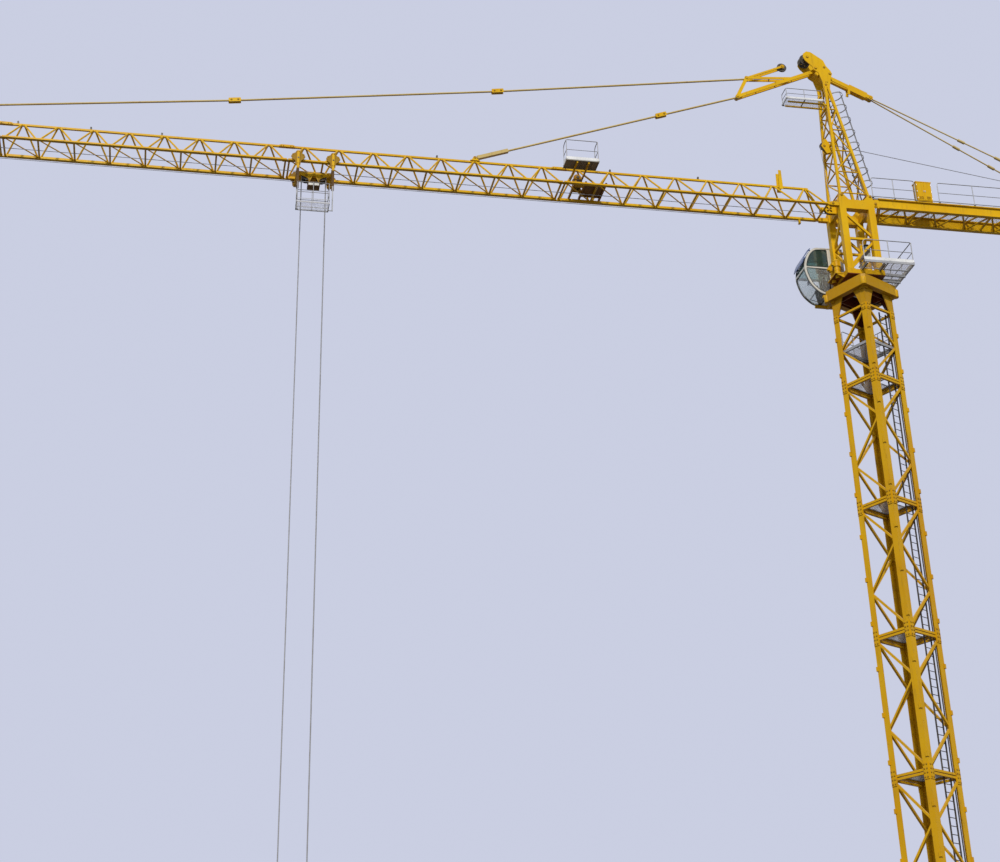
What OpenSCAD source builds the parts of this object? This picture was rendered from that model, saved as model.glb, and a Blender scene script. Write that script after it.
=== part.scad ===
// Saddle-jib tower crane with a slewing upper part, at half the real size.
// Millimetres. The origin is on the underside of the base, on the mast's axis.
// The jib points along -X, the counter-jib along +X.

/* [Base] */
// Length of one base beam from tip to tip
base_span = 2700; // [2300:50:3600]
// Height of the base beams
base_h = 250; // [180:10:340]
// Width of the base beams
base_beam_w = 140; // [100:5:200]
// Side of the square foot plates
foot_w = 320; // [280:10:420]
// Thickness of the foot plates
foot_t = 20; // [12:1:30]
// Diameter of the circle that the anchor bolts stand on
anchor_pcd = 250; // [230:5:260]
// Radius of the anchor bolt holes
anchor_r = 14; // [8:0.5:18]

/* [Mast] */
// Outer width of the square mast
mast_w = 860; // [740:10:1000]
// Angle of the mast's faces to the jib
mast_turn = 27; // [0:1:89]
// Height of one of the six lower mast sections
section_h = 2650; // [2200:50:3000]
// Height of the short top section
top_section_h = 1630; // [1400:10:2000]
// Bays of bracing in one lower section
section_bays = 3; // [2:1:4]
// Flange width of the leg angles
leg_w = 125; // [90:5:140]
// Thickness of the leg angles
leg_t = 16; // [10:1:22]
// Width of the mast's diagonals
mast_brace = 44; // [30:2:60]
// Width of the mast ladder between its rails
ladder_w = 190; // [150:5:240]
// Distance between ladder rungs
rung_pitch = 150; // [125:5:200]

/* [Slewing ring] */
// Width of the square ring support
support_w = 1060; // [1000:10:1160]
// Height of the ring support
support_h = 600; // [480:10:700]
// Outer radius of the slewing ring
ring_r = 400; // [350:5:430]
// Height of one half of the slewing ring
ring_h = 70; // [50:5:90]
// Running gap of the slewing ring and of rolling pieces
run_gap = 0.4; // [0.3:0.1:0.6]
// Height of the turntable frame
turntable_h = 120; // [90:5:160]

/* [Slewing tower] */
// Height of the slewing tower from the turntable to the jib's level
tower_h = 1600; // [1400:20:1900]
// Distance between the tower's column centres
tower_w = 630; // [600:10:660]
// Width of a tower column
column_w = 140; // [110:5:150]
// Length of the cab along the jib
cab_l = 875; // [800:5:950]
// Width of the cab across the jib
cab_w = 550; // [500:10:620]
// Height of the cab
cab_h = 1140; // [1080:10:1160]
// Clear distance between the tower and the cab
cab_reach = 35; // [30:1:60]
// Thickness of the cab's walls
cab_wall = 20; // [12:1:30]

/* [Tower head] */
// Height of the head from the jib's level to the tie pins
head_h = 3100; // [2700:50:3500]
// Width of the head at its top
head_top_w = 380; // [320:10:440]
// Side of the head's leg tubes
head_leg = 52; // [44:2:64]

/* [Jib] */
// Distance between the two bottom chords, centre to centre
jib_w = 660; // [600:10:720]
// Height of the jib between chord centres
jib_h = 540; // [460:10:640]
// Length of one panel of lacing
panel = 715; // [640:5:780]
// Side of the square bottom chords
chord = 50; // [44:2:60]
// Side of the square top chord
top_chord = 42; // [38:2:50]
// Diameter of the lacing tubes
lacing = 38; // [30:2:44]
// Distance from the tower's axis to the first panel
jib_root = 590; // [560:10:640]
// Gap between two jib sections, bridged by pins
joint_gap = 28; // [20:1:40]

/* [Counter-jib] */
// Length of the counter-jib from the tower's axis
counter_l = 7900; // [7500:50:8200]
// Distance between the two girders, centre to centre
girder_gauge = 600; // [540:10:640]
// Height of the girders
girder_h = 235; // [180:5:280]
// Thickness of one ballast block
ballast_t = 200; // [160:10:230]
// Number of ballast blocks
ballast_count = 4; // [3:1:5]

/* [Ties] */
// Diameter of the tie rods
tie_d = 42; // [34:2:50]
// Radius of the pins that hold the ties
pin_r = 20; // [16:1:24]

/* [Trolley and hook] */
// Distance of the trolley from the tower's axis
trolley_x = 11500; // [9000:50:15000]
// Length of the trolley along the jib
trolley_l = 900; // [800:10:1100]
// Length of the rope falls at rest
fall_l = 14600; // [12000:100:15500]
// Diameter of the hoist rope
rope_d = 14; // [10:1:16]
// Radius of the rope sheaves at the bottom of their groove
sheave_r = 84; // [70:2:92]
// Spread of the rope falls along the jib
fall_spread = 500; // [460:10:560]

/* [Railings] */
// Height of the handrails
rail_h = 500; // [420:10:560]
// How far the long tie sags in its middle
tie_sag = 150; // [60:10:240]
// Height of the head platform's low rail
head_rail_h = 270; // [240:10:400]
// Diameter of the rail tubes
rail_d = 22; // [16:1:30]

/* [Hidden] */

// clearance between pieces that only bear on each other
seat = 0.3;
// clearance of a piece that passes another
pass = 6;
yellow = [0.93, 0.66, 0.04];
steel = [0.55, 0.56, 0.57];
dark = [0.16, 0.14, 0.13];

// heights, from the ground up
mast_top = base_h + 6*section_h + top_section_h;
support_top = mast_top + seat + support_h;
lower_ring_top = support_top + seat + ring_h;
upper_ring_bottom = lower_ring_top + run_gap;
turntable_bottom = upper_ring_bottom + ring_h;
turntable_top = turntable_bottom + turntable_h;
jib_z = turntable_top + tower_h;
jib_top = jib_z + jib_h;
head_z = jib_z + head_h;

// faces of the slewing tower
tower_face = tower_w/2 + column_w/2;
turntable_half = tower_face + 20;

// jib stations, measured from the tower's axis
panels = 8;
tip_panels = 4;
section_l = panels*panel;
function section_x(i) = jib_root + (i - 1)*(section_l + joint_gap);
tip_end = section_x(5) + tip_panels*panel;
half_w = jib_w/2;
c2 = chord/2;
t2 = top_chord/2;
// a flat ledge along each bottom chord carries the trolley's wheels
ledge_w = 24;
ledge_t = 8;
ledge_y = half_w + c2 + ledge_w;
ledge_z = -c2 + ledge_t;

// where the ties take hold
head_pin = [-430, 0, head_z + 560];
outer_pin = [-2000, 0, head_z + 220];
inner_pin = [-2250, 0, head_z - 300];
back_pin = [-115, 0, head_z + 440];
counter_pin = [820, 0, head_z - 20];
arm_sheave = [-1145, 0, head_z + 620];
head_sheave = [-595, 0, head_z + 850];
lug_h = 70;
outer_foot = [-(section_x(4) + 4.5*panel), 0, jib_top + t2 + lug_h];
inner_foot = [-(section_x(2) + 2.5*panel), 0, jib_top + t2 + lug_h];
link_gap = 84;
link_t = 16;

// counter-jib stations
ballast_gap = 12;
ballast_x = counter_l - 24 - ballast_count*(ballast_t + ballast_gap);
counter_foot_x = ballast_x - 1080;
winch_x = ballast_x - 680;
counter_foot_z = jib_z + girder_h + 70;

// hoist rope
fall_x = fall_spread/2;
fall_y = 60;
sheave_x = fall_x - sheave_r - rope_d/2 - seat;
sheave_z = -171;
rope_z = sheave_z + sheave_r + rope_d/2 + seat;
flange_r = sheave_r + 16;

// A square bar from p to q
module bar(p, q, d, aligned=false) {
    v = q - p;
    l = norm(v);
    turn = atan2(v[1], v[0]);
    translate(p)
        rotate([0, acos(v[2]/l), turn])
            rotate([0, 0, 45 - (aligned ? turn : 0)])
                cylinder(d=d*sqrt(2), h=l, $fn=4);
}

// A tube of a few flat sides from p to q
module tube(p, q, d, sides=6) {
    v = q - p;
    l = norm(v);
    translate(p)
        rotate([0, acos(v[2]/l), atan2(v[1], v[0])])
            cylinder(d=d, h=l, $fn=sides);
}

// A round rod from p to q
module rod(p, q, d) {
    tube(p, q, d, 24);
}

// A box between two corners
module box(a, b) {
    translate(a) cube(b - a);
}

// A flat strip of width w in the drawing plane
module strip(p, q, w) {
    v = (q - p)/norm(q - p);
    n = [-v[1], v[0]]*w/2;
    polygon([p + n, q + n, q - n, p - n]);
}

// Raises a drawing in the XZ plane to a plate from y to y + t
module upright(y, t) {
    translate([0, y + t, 0]) rotate([90, 0, 0]) linear_extrude(height=t) children();
}

// Mast

// Faces next to each other mirror one another, so that the zigzags meet on the legs
module mast_faces() {
    for (k = [0:3]) rotate([0, 0, 90*k]) mirror([k % 2, 0, 0]) children();
}

// One leg angle with its corner pointing out
module leg_angle(h) {
    a = mast_w/2;
    linear_extrude(height=h)
        polygon([[a, a], [a - leg_w, a], [a - leg_w, a - leg_t], [a - leg_t, a - leg_t],
                 [a - leg_t, a - leg_w], [a, a - leg_w]]);
}

// Horizontals and n zigzag diagonals of one face of height h, drawn in its plane
module face_lacing(h, n) {
    bay = h/n;
    x = mast_w/2 - leg_w*0.55;
    e = mast_brace/2 + 8;
    strip([-x, e], [x, e], mast_brace);
    strip([-x, h - e], [x, h - e], mast_brace);
    for (b = [0:n - 1]) {
        s = b % 2 == 0 ? 1 : -1;
        strip([-s*x, b*bay + (b == 0 ? e + 60 : 0)], [s*x, (b + 1)*bay - (b == n - 1 ? e + 60 : 0)],
              mast_brace*0.9);
    }
}

function mast_z(i) = base_h + (i - 1)*section_h;
function mast_l(i) = i < 7 ? section_h : top_section_h;

module mast_section(i) {
    h = mast_l(i) - seat;
    color(yellow)
        translate([0, 0, mast_z(i) + seat]) rotate([0, 0, mast_turn])
            union() {
                for (k = [0:3]) rotate([0, 0, 90*k]) {
                    leg_angle(h);
                    // fishplates on both flanges, at both ends of the leg
                    for (z = [0, h - 150]) {
                        box([mast_w/2 - 1, mast_w/2 - leg_w + 6, z], [mast_w/2 + 12, mast_w/2 - 8, z + 150]);
                        box([mast_w/2 - leg_w + 6, mast_w/2 - 1, z], [mast_w/2 - 8, mast_w/2 + 12, z + 150]);
                    }
                }
                mast_faces() upright(-mast_w/2 + leg_t/2, mast_brace) face_lacing(h, i < 7 ? section_bays : 2);
                // climbing lugs on the corners, one to a bay
                for (k = [0:3], b = [0 : (i < 7 ? section_bays : 2) - 1])
                    rotate([0, 0, 90*k])
                        translate([mast_w/2 - 30, mast_w/2 - 30, (b + 0.28)*h/(i < 7 ? section_bays : 2)])
                            box([0, 0, 0], [48, 48, 90]);
            }
}

module base_frame() {
    arm = base_span/2;
    r = mast_w/sqrt(2);
    strut_z = base_h + section_h*0.62;
    color(yellow)
        rotate([0, 0, mast_turn + 45])
            difference() {
                union() {
                    for (k = [0, 90]) rotate([0, 0, k])
                        box([-arm, -base_beam_w/2, 0], [arm, base_beam_w/2, base_h]);
                    for (k = [0:3]) rotate([0, 0, 90*k]) {
                        translate([arm - foot_w/2, -foot_w/2, 0]) cube([foot_w, foot_w, foot_t]);
                        bar([arm - 60, 0, base_h - 40], [r - 30, 0, strut_z + 40], 90);
                    }
                }
                // the struts end in claws that bear on the leg's corner
                rotate([0, 0, 45])
                    translate([-mast_w/2 - seat, -mast_w/2 - seat, base_h])
                        cube([mast_w + 2*seat, mast_w + 2*seat, section_h]);
                for (k = [0:3]) rotate([0, 0, 90*k]) for (j = [0:3])
                    translate([arm, 0, -1]) rotate([0, 0, 45 + 90*j]) translate([anchor_pcd/2, 0, 0])
                        cylinder(r=anchor_r, h=foot_t + 2, $fn=32);
            }
}

lacing_face = mast_w/2 - leg_t/2 - mast_brace;
ladder_y = lacing_face - 62;
ladder_x = 190;

module mast_ladder() {
    x0 = ladder_x - ladder_w/2;
    x1 = ladder_x + ladder_w/2;
    color(steel)
        rotate([0, 0, mast_turn])
            union() {
                for (x = [x0, x1]) box([x - 10, -ladder_y - 12, base_h + 12], [x + 10, -ladder_y + 12, mast_top - 40]);
                for (z = [base_h + rung_pitch : rung_pitch : mast_top - rung_pitch/2])
                    tube([x0, -ladder_y, z], [x1, -ladder_y, z], 16);
                for (i = [1:7], x = [x0, x1])
                    box([x - 8, -lacing_face + seat, mast_z(i) + 18], [x + 8, -ladder_y, mast_z(i) + 44]);
            }
}

module ladder_hole() {
    box([ladder_x - ladder_w/2 - 55, -ladder_y - 45, -80], [ladder_x + ladder_w/2 + 55, -ladder_y + 230, 80]);
}

// Landings on the sections' horizontals, and a railed one halfway up the top section
module rest_platforms() {
    a = lacing_face + 12;
    m = lacing_face - seat;
    zt = mast_z(7) + top_section_h/2;
    color(steel)
        rotate([0, 0, mast_turn]) {
            for (i = [2:7]) translate([0, 0, mast_z(i) + mast_brace + 8 + 2*seat])
                difference() {
                    box([-a, -a, 0], [a, a, 12]);
                    ladder_hole();
                    for (sx = [-1, 1], sy = [-1, 1])
                        translate([sx*a, sy*a, 6]) cube([70, 70, 20], center=true);
                }
            translate([0, 0, zt])
                union() {
                    difference() {
                        union() {
                            box([-m, -m, 0], [m, m, 12]);
                            for (k = [0:3]) rotate([0, 0, 90*k]) box([-m, -m, -44], [m, -m + 36, 1]);
                        }
                        ladder_hole();
                    }
                    for (k = [1, 2]) rotate([0, 0, 90*k])
                        railing([[-m + 30, -m + 18], [0, -m + 18], [m - 30, -m + 18]], 11);
                }
        }
}

// Side view of one support beam: a deep box with an arched, tapered underside
module support_side(half, deep) {
    m = mast_w/2;
    polygon([[-half, support_h], [half, support_h], [half, support_h - deep*0.62],
             [m, support_h - deep], [m, 0], [m - leg_w - 20, 0], [m - leg_w - 70, support_h - deep*1.35],
             [m*0.35, support_h - deep*0.72], [-m*0.35, support_h - deep*0.72],
             [-m + leg_w + 70, support_h - deep*1.35], [-m + leg_w + 20, 0], [-m, 0],
             [-m, support_h - deep], [-half, support_h - deep*0.62]]);
}

// Corners of the support's outline, cut back by 64
function support_corner(k, j) =
    let (h = support_w/2, a = 90*k, p = j < 0 ? [h, h - 64] : [h - 64, h])
    [p[0]*cos(a) - p[1]*sin(a), p[0]*sin(a) + p[1]*cos(a)];

module ring_support() {
    m = mast_w/2;
    deep = support_h*0.55;
    beam = support_h*0.4;
    color(yellow)
        translate([0, 0, mast_top + seat])
            rotate([0, 0, mast_turn])
                difference() {
                    union() {
                        for (k = [0:3]) rotate([0, 0, 90*k])
                            upright(-m, 26) support_side(m + 20, deep);
                        // top plate that carries the slewing ring
                        difference() {
                            translate([0, 0, support_h - 30]) linear_extrude(height=30)
                                polygon([for (k = [0:3], j = [-1, 1]) support_corner(k, j)]);
                            translate([0, 0, support_h - 31]) cylinder(r=ring_r - 60, h=32, $fn=64);
                        }
                        // inner walls of the box beams
                        for (k = [0:3]) rotate([0, 0, 90*k])
                            box([-m + 120, -m + 120, support_h - deep*0.8], [m - 120, -m + 140, support_h - 10]);
                        // box beams along the outer edge, their corners cut back
                        difference() {
                            translate([0, 0, support_h - beam])
                                linear_extrude(height=beam - 1)
                                    polygon([for (k = [0:3], j = [-1, 1]) support_corner(k, j)]);
                            box([-m + 30, -m + 30, support_h - beam - 1], [m - 30, m - 30, support_h]);
                        }
                        // ends of the beams hang over the legs
                        for (k = [0:3]) rotate([0, 0, 90*k])
                            translate([m - 20, m - 20, support_h - beam - 46])
                                linear_extrude(height=48) polygon([[-70, -70], [52, -70], [52, 6], [6, 52], [-70, 52]]);
                    }
                }
}

module lower_ring() {
    color(dark)
        translate([0, 0, support_top + seat])
            difference() {
                cylinder(r=ring_r, h=ring_h, $fn=96);
                translate([0, 0, -1]) cylinder(r=ring_r - 55, h=ring_h + 2, $fn=96);
            }
}

// Slewing tower

drive_x = -(turntable_half + 95);

module turntable() {
    a = turntable_half;
    color(yellow)
        difference() {
            union() {
                translate([0, 0, upper_ring_bottom]) cylinder(r=ring_r - 12, h=ring_h + 1, $fn=96);
                box([-a, -a, turntable_bottom], [a, a, turntable_top]);
                box([drive_x - 90, -220, turntable_top - 26], [-a + 1, 220, turntable_top]);
                for (s = [-1, 1])
                    upright(s*200 - 10, 20)
                        polygon([[-a + 1, turntable_bottom + 4], [-a + 1, turntable_top - 25],
                                 [drive_x - 80, turntable_top - 25]]);
            }
            translate([0, 0, upper_ring_bottom - 1])
                cylinder(r=ring_r - 90, h=ring_h + turntable_h + 3, $fn=96);
            for (s = [-1, 1]) translate([drive_x, s*105, turntable_top - 30])
                cylinder(r=52, h=40, $fn=32);
        }
}

module slewing_drives() {
    color(steel)
        for (s = [-1, 1]) translate([drive_x, s*105, turntable_top]) {
            translate([0, 0, -90]) cylinder(r=46, h=91, $fn=32);
            translate([0, 0, seat]) cylinder(r=75, h=34, $fn=32);
            translate([0, 0, 34]) cylinder(r=58, h=150, $fn=32);
            translate([0, 0, 183]) cylinder(r=70, h=130, $fn=32);
            translate([0, 0, 312]) cylinder(r=48, h=30, $fn=32);
        }
}

lug_t = 14;
beam_top = jib_z + 120;
beam_bottom = jib_z - 105;
head_foot_z = beam_top + 105;

// Rounded cheek that holds the root sheave, with a window that shows it
module root_cheek() {
    difference() {
        union() {
            translate([-tower_face - 110, root_sheave[2]]) circle(r=96, $fn=48);
            polygon([[-tower_face - 110, root_sheave[2] - 96], [-tower_w/2 - 20, jib_z - 80],
                     [-tower_w/2 - 20, jib_z + 100], [-tower_face - 110, root_sheave[2] + 96]]);
        }
        for (k = [0:3]) translate([-tower_face - 110, root_sheave[2]]) rotate([0, 0, 45 + 90*k])
            translate([52, 0]) circle(r=23, $fn=24);
    }
}

module slewing_tower() {
    c = tower_w/2;
    top = beam_top;
    h2 = column_w/2;
    color(yellow)
        difference() {
            union() {
                for (sx = [-1, 1], sy = [-1, 1])
                    translate([sx*c, sy*c, 0]) {
                        box([-h2, -h2, turntable_top], [h2, h2, top]);
                        // pointed lugs that hold the head's feet
                        for (y = [h2 - lug_t, -h2])
                            upright(y, lug_t)
                                polygon([[-h2 - (sx > 0 ? 85 : 0), top - 1], [h2 + (sx < 0 ? 85 : 0), top - 1],
                                         [24, top + 145], [-24, top + 145]]);
                    }
                for (s = [-1, 1]) {
                    box([-c, s*c - h2, beam_bottom], [c, s*c + h2, beam_top]);
                    box([s*c - 38, -c, beam_bottom], [s*c + 38, c, beam_top - 20]);
                    upright(s*c - 22, 44) {
                        strip([-c, beam_bottom - 25], [c, jib_z - 790], 50);
                        strip([c, jib_z - 830], [-c, turntable_top + 90], 50);
                        strip([-c, jib_z - 810], [c, jib_z - 810], 50);
                    }
                    rotate([0, 0, 90]) upright(s*c - 22, 44) {
                        strip([-c, beam_bottom - 25], [c, jib_z - 790], 50);
                        strip([c, jib_z - 830], [-c, turntable_top + 90], 50);
                        strip([-c, jib_z - 810], [c, jib_z - 810], 50);
                    }
                    // forks for the jib's feet and for the counter-jib's feet
                    for (y = [s*half_w + 22 + seat, s*half_w - 22 - seat - 20])
                        box([-jib_root + 20, y, jib_z - 45], [-tower_face + 1, y + 20, jib_z + 45]);
                    for (y = [s*girder_gauge/2 + 7 + seat, s*girder_gauge/2 - 7 - seat - 20])
                        box([tower_face - 1, y, jib_z + 30], [tower_face + 100, y + 20, jib_z + girder_h - 50]);
                }
                // bracket of the rope sheave at the jib's root
                for (y = [-fall_y - 38, -fall_y + 22])
                    upright(y, 16) root_cheek();
            }
            for (s = [-1, 1]) {
                translate([-jib_root + 70, s*half_w, jib_z]) rotate([90, 0, 0])
                    cylinder(r=pin_r + seat, h=120, center=true, $fn=32);
                translate([tower_face + 60, s*girder_gauge/2, jib_z + 90]) rotate([90, 0, 0])
                    cylinder(r=pin_r, h=120, center=true, $fn=32);
            }
        }
}

// Cab

cab_x = -tower_face + 285;
cab_y = tower_face + cab_reach + cab_w/2;
cab_z = support_top + 81;

// The cab's side outline from its rear bottom corner round the bulging front, as fractions
cab_knots = [[0, 0], [0.37, 0.004], [0.61, 0.026], [0.76, 0.105], [0.89, 0.23], [0.975, 0.41],
             [1, 0.57], [0.955, 0.735], [0.85, 0.89], [0.715, 0.98], [0.55, 1], [0, 1]];

// A smooth curve through the inner knots, n steps between two of them
function smooth(p, n) =
    concat([p[0]],
           [for (i = [1 : len(p) - 3], k = [0 : n - 1])
               let (t = k/n, a = p[i - 1], b = p[i], c = p[i + 1], d = p[i + 2])
               (2*b + (c - a)*t + (2*a - 5*b + 4*c - d)*t*t + (3*b - a - 3*c + d)*t*t*t)/2],
           [p[len(p) - 2], p[len(p) - 1]]);

cab_curve = [for (q = smooth(cab_knots, 3)) [q[0]*cab_l, q[1]*cab_h]];

// The outline moved inwards by i
function inward(c, i) =
    [for (k = [0 : len(c) - 1])
        let (a = c[(k + len(c) - 1) % len(c)], b = c[k], d = c[(k + 1) % len(c)],
             u = (b - a)/norm(b - a), v = (d - b)/norm(d - b), w = u + v,
             n = [-w[1], w[0]]/norm(w), g = n*[-u[1], u[0]])
        b + n*i/g];

// Puts a drawing of the cab's side, with X to the front, in its place, w wide
module cab_prism(w) {
    translate([cab_x, cab_y + w/2, cab_z])
        rotate([90, 0, 0]) linear_extrude(height=w) mirror([1, 0]) children();
}

module band(a, b, d0, d1, e) {
    translate([cab_l*d0 + e, cab_h*a + e]) square([cab_l*(d1 - d0) - 2*e, cab_h*(b - a) - 2*e]);
}

module cab_cuts(e) {
    // side windows, one above the other
    cab_prism(cab_w + 20)
        intersection() {
            polygon(inward(cab_curve, 48 + e));
            union() {
                band(0.59, 1, 0.4, 1.1, e);
                band(0, 0.55, 0.4, 1.1, e);
            }
        }
    // glazing of the front, above and below the cross bar
    cab_prism(cab_w - 64 - 2*e)
        intersection() {
            polygon(inward(cab_curve, -4));
            union() {
                band(0.58, 0.955, 0.6, 1.1, e);
                band(-0.1, 0.545, 0.45, 1.1, e);
            }
        }
}

module cab_shell() {
    door_z = cab_h*0.12;
    color([0.87, 0.84, 0.74])
        union() {
            difference() {
                cab_prism(cab_w) polygon(cab_curve);
                cab_prism(cab_w - 2*cab_wall) polygon(inward(cab_curve, cab_wall));
                cab_cuts(0);
                // window of the door in the rear wall
                box([cab_x - cab_wall - 5, cab_y - 120, cab_z + cab_h*0.55], [cab_x + 20, cab_y + 120, cab_z + cab_h*0.85]);
            }
            // door leaf that stands proud of the rear wall, with its hinges and handle
            difference() {
                box([cab_x - 1, cab_y - 190, cab_z + 60], [cab_x + 8, cab_y + 190, cab_z + cab_h*0.93]);
                box([cab_x - 5, cab_y - 150, cab_z + cab_h*0.52], [cab_x + 20, cab_y + 150, cab_z + cab_h*0.88]);
            }
            box([cab_x + 7, cab_y + 150, cab_z + cab_h*0.42], [cab_x + 26, cab_y + 166, cab_z + cab_h*0.5]);
            for (z = [0.15, 0.5, 0.85])
                translate([cab_x + 8, cab_y - 190, cab_z + cab_h*z]) cylinder(r=8, h=50, $fn=24);
            // gutter round the roof
            box([cab_x - cab_l*0.56, cab_y - cab_w/2 - 10, cab_z + cab_h - 26],
                [cab_x - 10, cab_y - cab_w/2 + 1, cab_z + cab_h - 12]);
            box([cab_x - cab_l*0.56, cab_y + cab_w/2 - 1, cab_z + cab_h - 26],
                [cab_x - 10, cab_y + cab_w/2 + 10, cab_z + cab_h - 12]);
        }
}

module cab_windows() {
    color([0.1, 0.2, 0.18, 0.6])
        intersection() {
            difference() {
                cab_prism(cab_w - 12) polygon(inward(cab_curve, 6));
                cab_prism(cab_w - 24) polygon(inward(cab_curve, 12));
            }
            cab_cuts(seat);
        }
}

// Sheet that shades the top of the front glazing, with its arms
module sun_visor() {
    color([0.05, 0.08, 0.2])
        union() {
            // a curved sheet that follows the front at a small distance
            cab_prism(cab_w - 20)
                intersection() {
                    difference() {
                        polygon(inward(cab_curve, -46));
                        polygon(inward(cab_curve, -36));
                    }
                    polygon([[cab_l*0.80, cab_h*1.1], [cab_l*0.80, cab_h*0.9], [cab_l*0.9, cab_h*0.66],
                             [cab_l*1.2, cab_h*0.66], [cab_l*1.2, cab_h*1.1]]);
                }
            for (s = [-1, 1], h = [0.93, 0.755])
                translate([0, s*(cab_w/2 - 22), 0])
                    cab_prism(12) intersection() {
                        difference() {
                            polygon(inward(cab_curve, -38));
                            polygon(inward(cab_curve, -seat));
                        }
                        translate([cab_l*0.8, cab_h*h]) square([cab_l*0.3, 26]);
                    }
        }
}

module cab_bracket() {
    z = cab_z - seat;
    y0 = turntable_half + seat;
    y1 = cab_y + cab_w/2 - 20;
    color(yellow)
        union() {
            // outriggers from the turntable, and two beams that the floor stands on
            for (x = [-140, -385]) {
                box([x, y0, z - 56], [x + 60, y1, z - 6]);
                box([x - 20, y0, z - 58], [x + 80, y0 + 14, turntable_top - 6]);
            }
            for (y = [cab_y - cab_w/2 + 30, y1 - 60])
                box([cab_x - cab_l*0.6, y, z - 50], [cab_x - 20, y + 60, z]);
            // links that steady the cab on the tower's column
            for (h = [0.35, 0.8])
                box([-tower_w/2 - 30, tower_face + seat, cab_z + cab_h*h],
                    [-tower_w/2 + 30, cab_y - cab_w/2 - seat, cab_z + cab_h*h + 50]);
        }
}

// Platforms and railings

// Posts, a handrail and a knee rail along the points of a path
module railing(path, z, rail_h=rail_h) {
    for (i = [0 : len(path) - 2]) {
        p = path[i];
        q = path[i + 1];
        tube([p[0], p[1], z + rail_h], [q[0], q[1], z + rail_h], rail_d);
        tube([p[0], p[1], z + rail_h/2], [q[0], q[1], z + rail_h/2], rail_d*0.8);
    }
    for (p = path) tube([p[0], p[1], z - 2], [p[0], p[1], z + rail_h + rail_d*0.3], rail_d*1.1);
}

module service_platform() {
    c = tower_face;
    a = turntable_half + seat;
    z = turntable_top + 40;
    x1 = c + 540;
    y1 = -c - 330;
    color(steel)
        union() {
            box([-150, y1, z], [x1, -c - seat, z + 22]);
            box([c + seat, -c - 1, z], [x1, c, z + 22]);
            for (x = [-100, 280]) box([x, y1 + 8, z - 60], [x + 30, -a, z + 1]);
            for (y = [-250, 0, 250]) box([a, y, z - 60], [x1 - 8, y + 30, z + 1]);
            railing([[-140, y1 + 12], [400, y1 + 12], [x1 - 12, y1 + 12], [x1 - 12, -150],
                     [x1 - 12, c - 12]], z + 21);
        }
}

// Tower head

// where the front and the rear legs end, along the jib
head_front_x = -272;
head_rear_x = -200;
head_base = [[-1, -1], [-1, 1], [1, 1], [1, -1]];

function head_pt(k, t) =
    let (b = [head_base[k][0]*tower_w/2, head_base[k][1]*tower_w/2, head_foot_z],
         q = [head_base[k][0] < 0 ? head_front_x : head_rear_x, head_base[k][1]*head_top_w/2, head_z])
    b + (q - b)*t;

head_deck_z = head_z - 430;
rear_dir = (head_pt(2, 1) - head_pt(2, 0))/norm([head_rear_x - tower_w/2, 0, head_z - head_foot_z]);
rear_norm = [rear_dir[2], 0, -rear_dir[0]];
ladder_off = 70;
cheek_y = head_top_w/2 - 20;

pulley = [-420, -fall_y, jib_z + 1645];

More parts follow.
